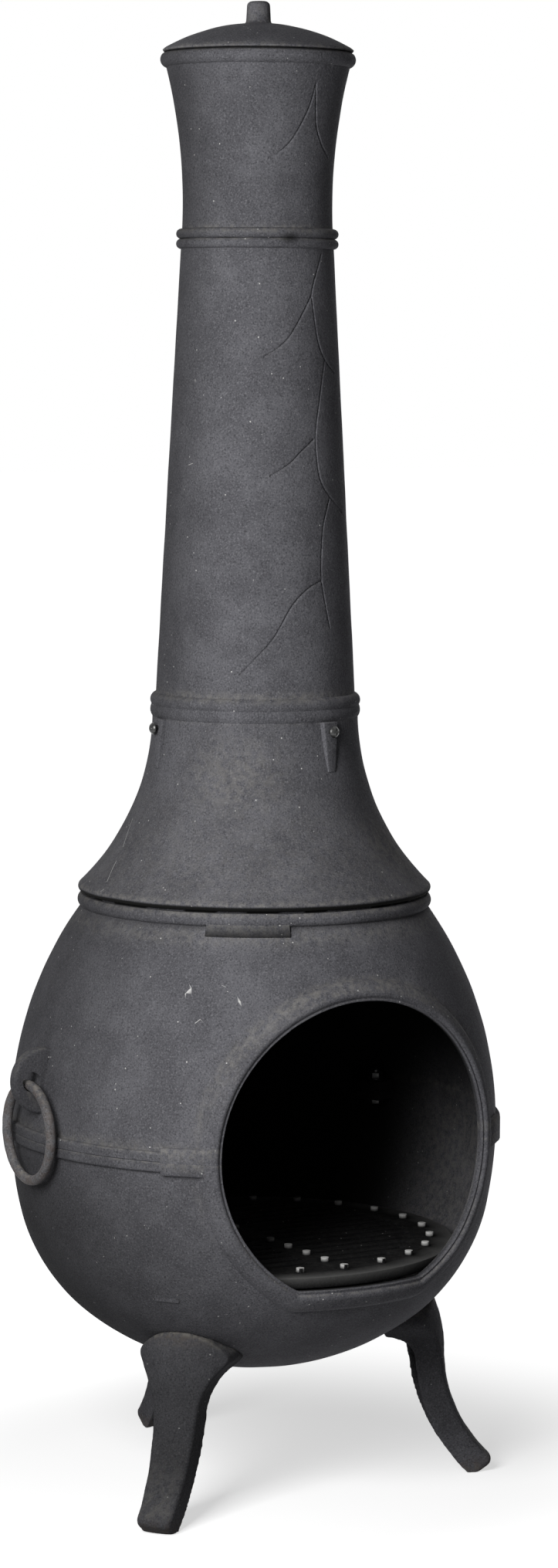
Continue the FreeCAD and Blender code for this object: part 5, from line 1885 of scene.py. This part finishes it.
@dataclass
class Studio:
    """The camera, the lamp, the pale floor and the white surroundings."""

    distance: float = 4349.0
    azimuth: float = -30.0
    eye_height: float = 1164.0
    tilt_down: float = 5.87
    aim_right: float = 0.323
    roll: float = 0.3
    lens: float = 98.98
    lamp_power: float = 33.5
    lamp_width: float = 800.0
    lamp_length: float = 1100.0
    lamp_bearing: float = -55.0
    lamp_distance: float = 1800.0
    lamp_height: float = 1300.0
    lamp_aim: float = 800.0
    fill: float = 0.03
    floor_shade: float = 0.95
    floor_bounce: float = 0.35
    floor_glow: float = 0.6
    glow_from: float = 250.0
    glow_to: float = 650.0

    def camera(self) -> None:
        """Set up the camera at the photograph's angle."""
        data = bpy.data.cameras.new("camera")
        data.lens = self.lens
        data.sensor_width = 36.0
        data.clip_end = 100.0
        camera = placed("camera", data)
        place = at_bearing(self.distance, self.azimuth, self.eye_height) * MM + AXIS
        turn = Matrix.Rotation(math.radians(self.azimuth - self.aim_right), 4, "Z")
        turn = turn @ Matrix.Rotation(math.radians(90.0 - self.tilt_down), 4, "X")
        turn = turn @ Matrix.Rotation(math.radians(self.roll), 4, "Z")
        camera.matrix_world = Matrix.Translation(place) @ turn
        bpy.context.scene.camera = camera

    def lamp(self) -> None:
        """Set up one soft lamp on the left."""
        data = bpy.data.lights.new("soft_box", "AREA")
        data.energy = self.lamp_power
        data.shape = "RECTANGLE"
        data.size = self.lamp_width * MM
        data.size_y = self.lamp_length * MM
        lamp = placed("soft_box", data)
        lamp.visible_camera = False
        place = at_bearing(self.lamp_distance, self.lamp_bearing, self.lamp_height)
        turn = (Vector((0.0, 0.0, self.lamp_aim)) - place).to_track_quat("-Z", "Y").to_matrix().to_4x4()
        lamp.matrix_world = Matrix.Translation(place * MM + AXIS) @ turn

    @staticmethod
    def seen_share(tree: bpy.types.NodeTree) -> Socket:
        """Give 1 for rays that show a surface to the eye, and 0 for those that light the object.

        Args:
            tree: Node tree to add to.

        Returns:
            The share.
        """
        path = tree.nodes.new("ShaderNodeLightPath")
        share = path.outputs["Is Camera Ray"]
        for name in ("Is Glossy Ray", "Is Transmission Ray"):
            most = tree.nodes.new("ShaderNodeMath")
            most.operation = "MAXIMUM"
            tree.links.new(share, most.inputs[0])
            tree.links.new(path.outputs[name], most.inputs[1])
            share = most.outputs["Value"]
        return share

    def surroundings(self) -> None:
        """Set up white surroundings that light the object only a little."""
        world = bpy.data.worlds.new("surroundings")
        world.use_nodes = True
        tree = world.node_tree
        level = tree.nodes.new("ShaderNodeMapRange")
        tree.links.new(self.seen_share(tree), level.inputs["Value"])
        level.inputs["To Min"].default_value = self.fill
        level.inputs["To Max"].default_value = 1.0
        background = tree.nodes["Background"]
        background.inputs["Color"].default_value = (1.0, 1.0, 1.0, 1.0)
        tree.links.new(level.outputs["Result"], background.inputs["Strength"])
        bpy.context.scene.world = world

    def floor(self) -> None:
        """Set up the pale floor, which glows a little to the eye and keeps the shadow."""
        mesh = bmesh.new()
        bmesh.ops.create_grid(mesh, x_segments=8, y_segments=8, size=30.0)
        data = bpy.data.meshes.new("floor")
        mesh.to_mesh(data)
        mesh.free()
        made = Recipe("pale_floor")
        seen = self.seen_share(made.material.node_tree)
        shade = made.coloured(seen, (self.floor_bounce,) * 3, (self.floor_shade,) * 3)
        soft = made.ramped(made.noise(400.0, 2.0), 0.3, 0.7, 0.0, 0.06)
        made.join(made.coloured(soft, shade, (0.7, 0.7, 0.7)), made.shader.inputs["Base Color"])
        made.shader.inputs["Roughness"].default_value = 0.9
        made.shader.inputs["Specular IOR Level"].default_value = 0.0
        made.shader.inputs["Emission Color"].default_value = (1.0, 1.0, 1.0, 1.0)
        far = made.nodes.new("ShaderNodeVectorMath")
        far.operation = "LENGTH"
        made.join(made.place, far.inputs[0])
        glow = made.ramped(far.outputs["Value"], self.glow_from * MM, self.glow_to * MM, self.floor_glow, 1.0)
        made.join(made.product(seen, glow), made.shader.inputs["Emission Strength"])
        data.materials.append(made.material)
        floor = placed("floor", data)

    def build(self) -> None:
        """Set up the whole studio."""
        self.camera()
        self.lamp()
        self.surroundings()
        self.floor()
        bpy.context.scene.view_settings.view_transform = "Standard"


def write_sizes() -> None:
    """Bring the view layer up to date."""
    bpy.context.view_layer.update()


def main() -> None:
    """Build the fireplace and the studio in order."""
    logging.basicConfig(level=logging.INFO, format="%(name)s %(message)s")
    Studio().build()
    Belly().build()
    Hood().build()
    Flue().build()
    Lid().build()
    Grate().build()
    CarryingRing("ring_left", Body.RING_LEFT, -1.0).build()
    CarryingRing("ring_right", Body.RING_RIGHT, 1.0).build()
    for node, bearing in LEG_BEARINGS.items():
        Leg(node, bearing).build()
    Fasteners().build()
    write_sizes()


if __name__ == "__main__":
    main()
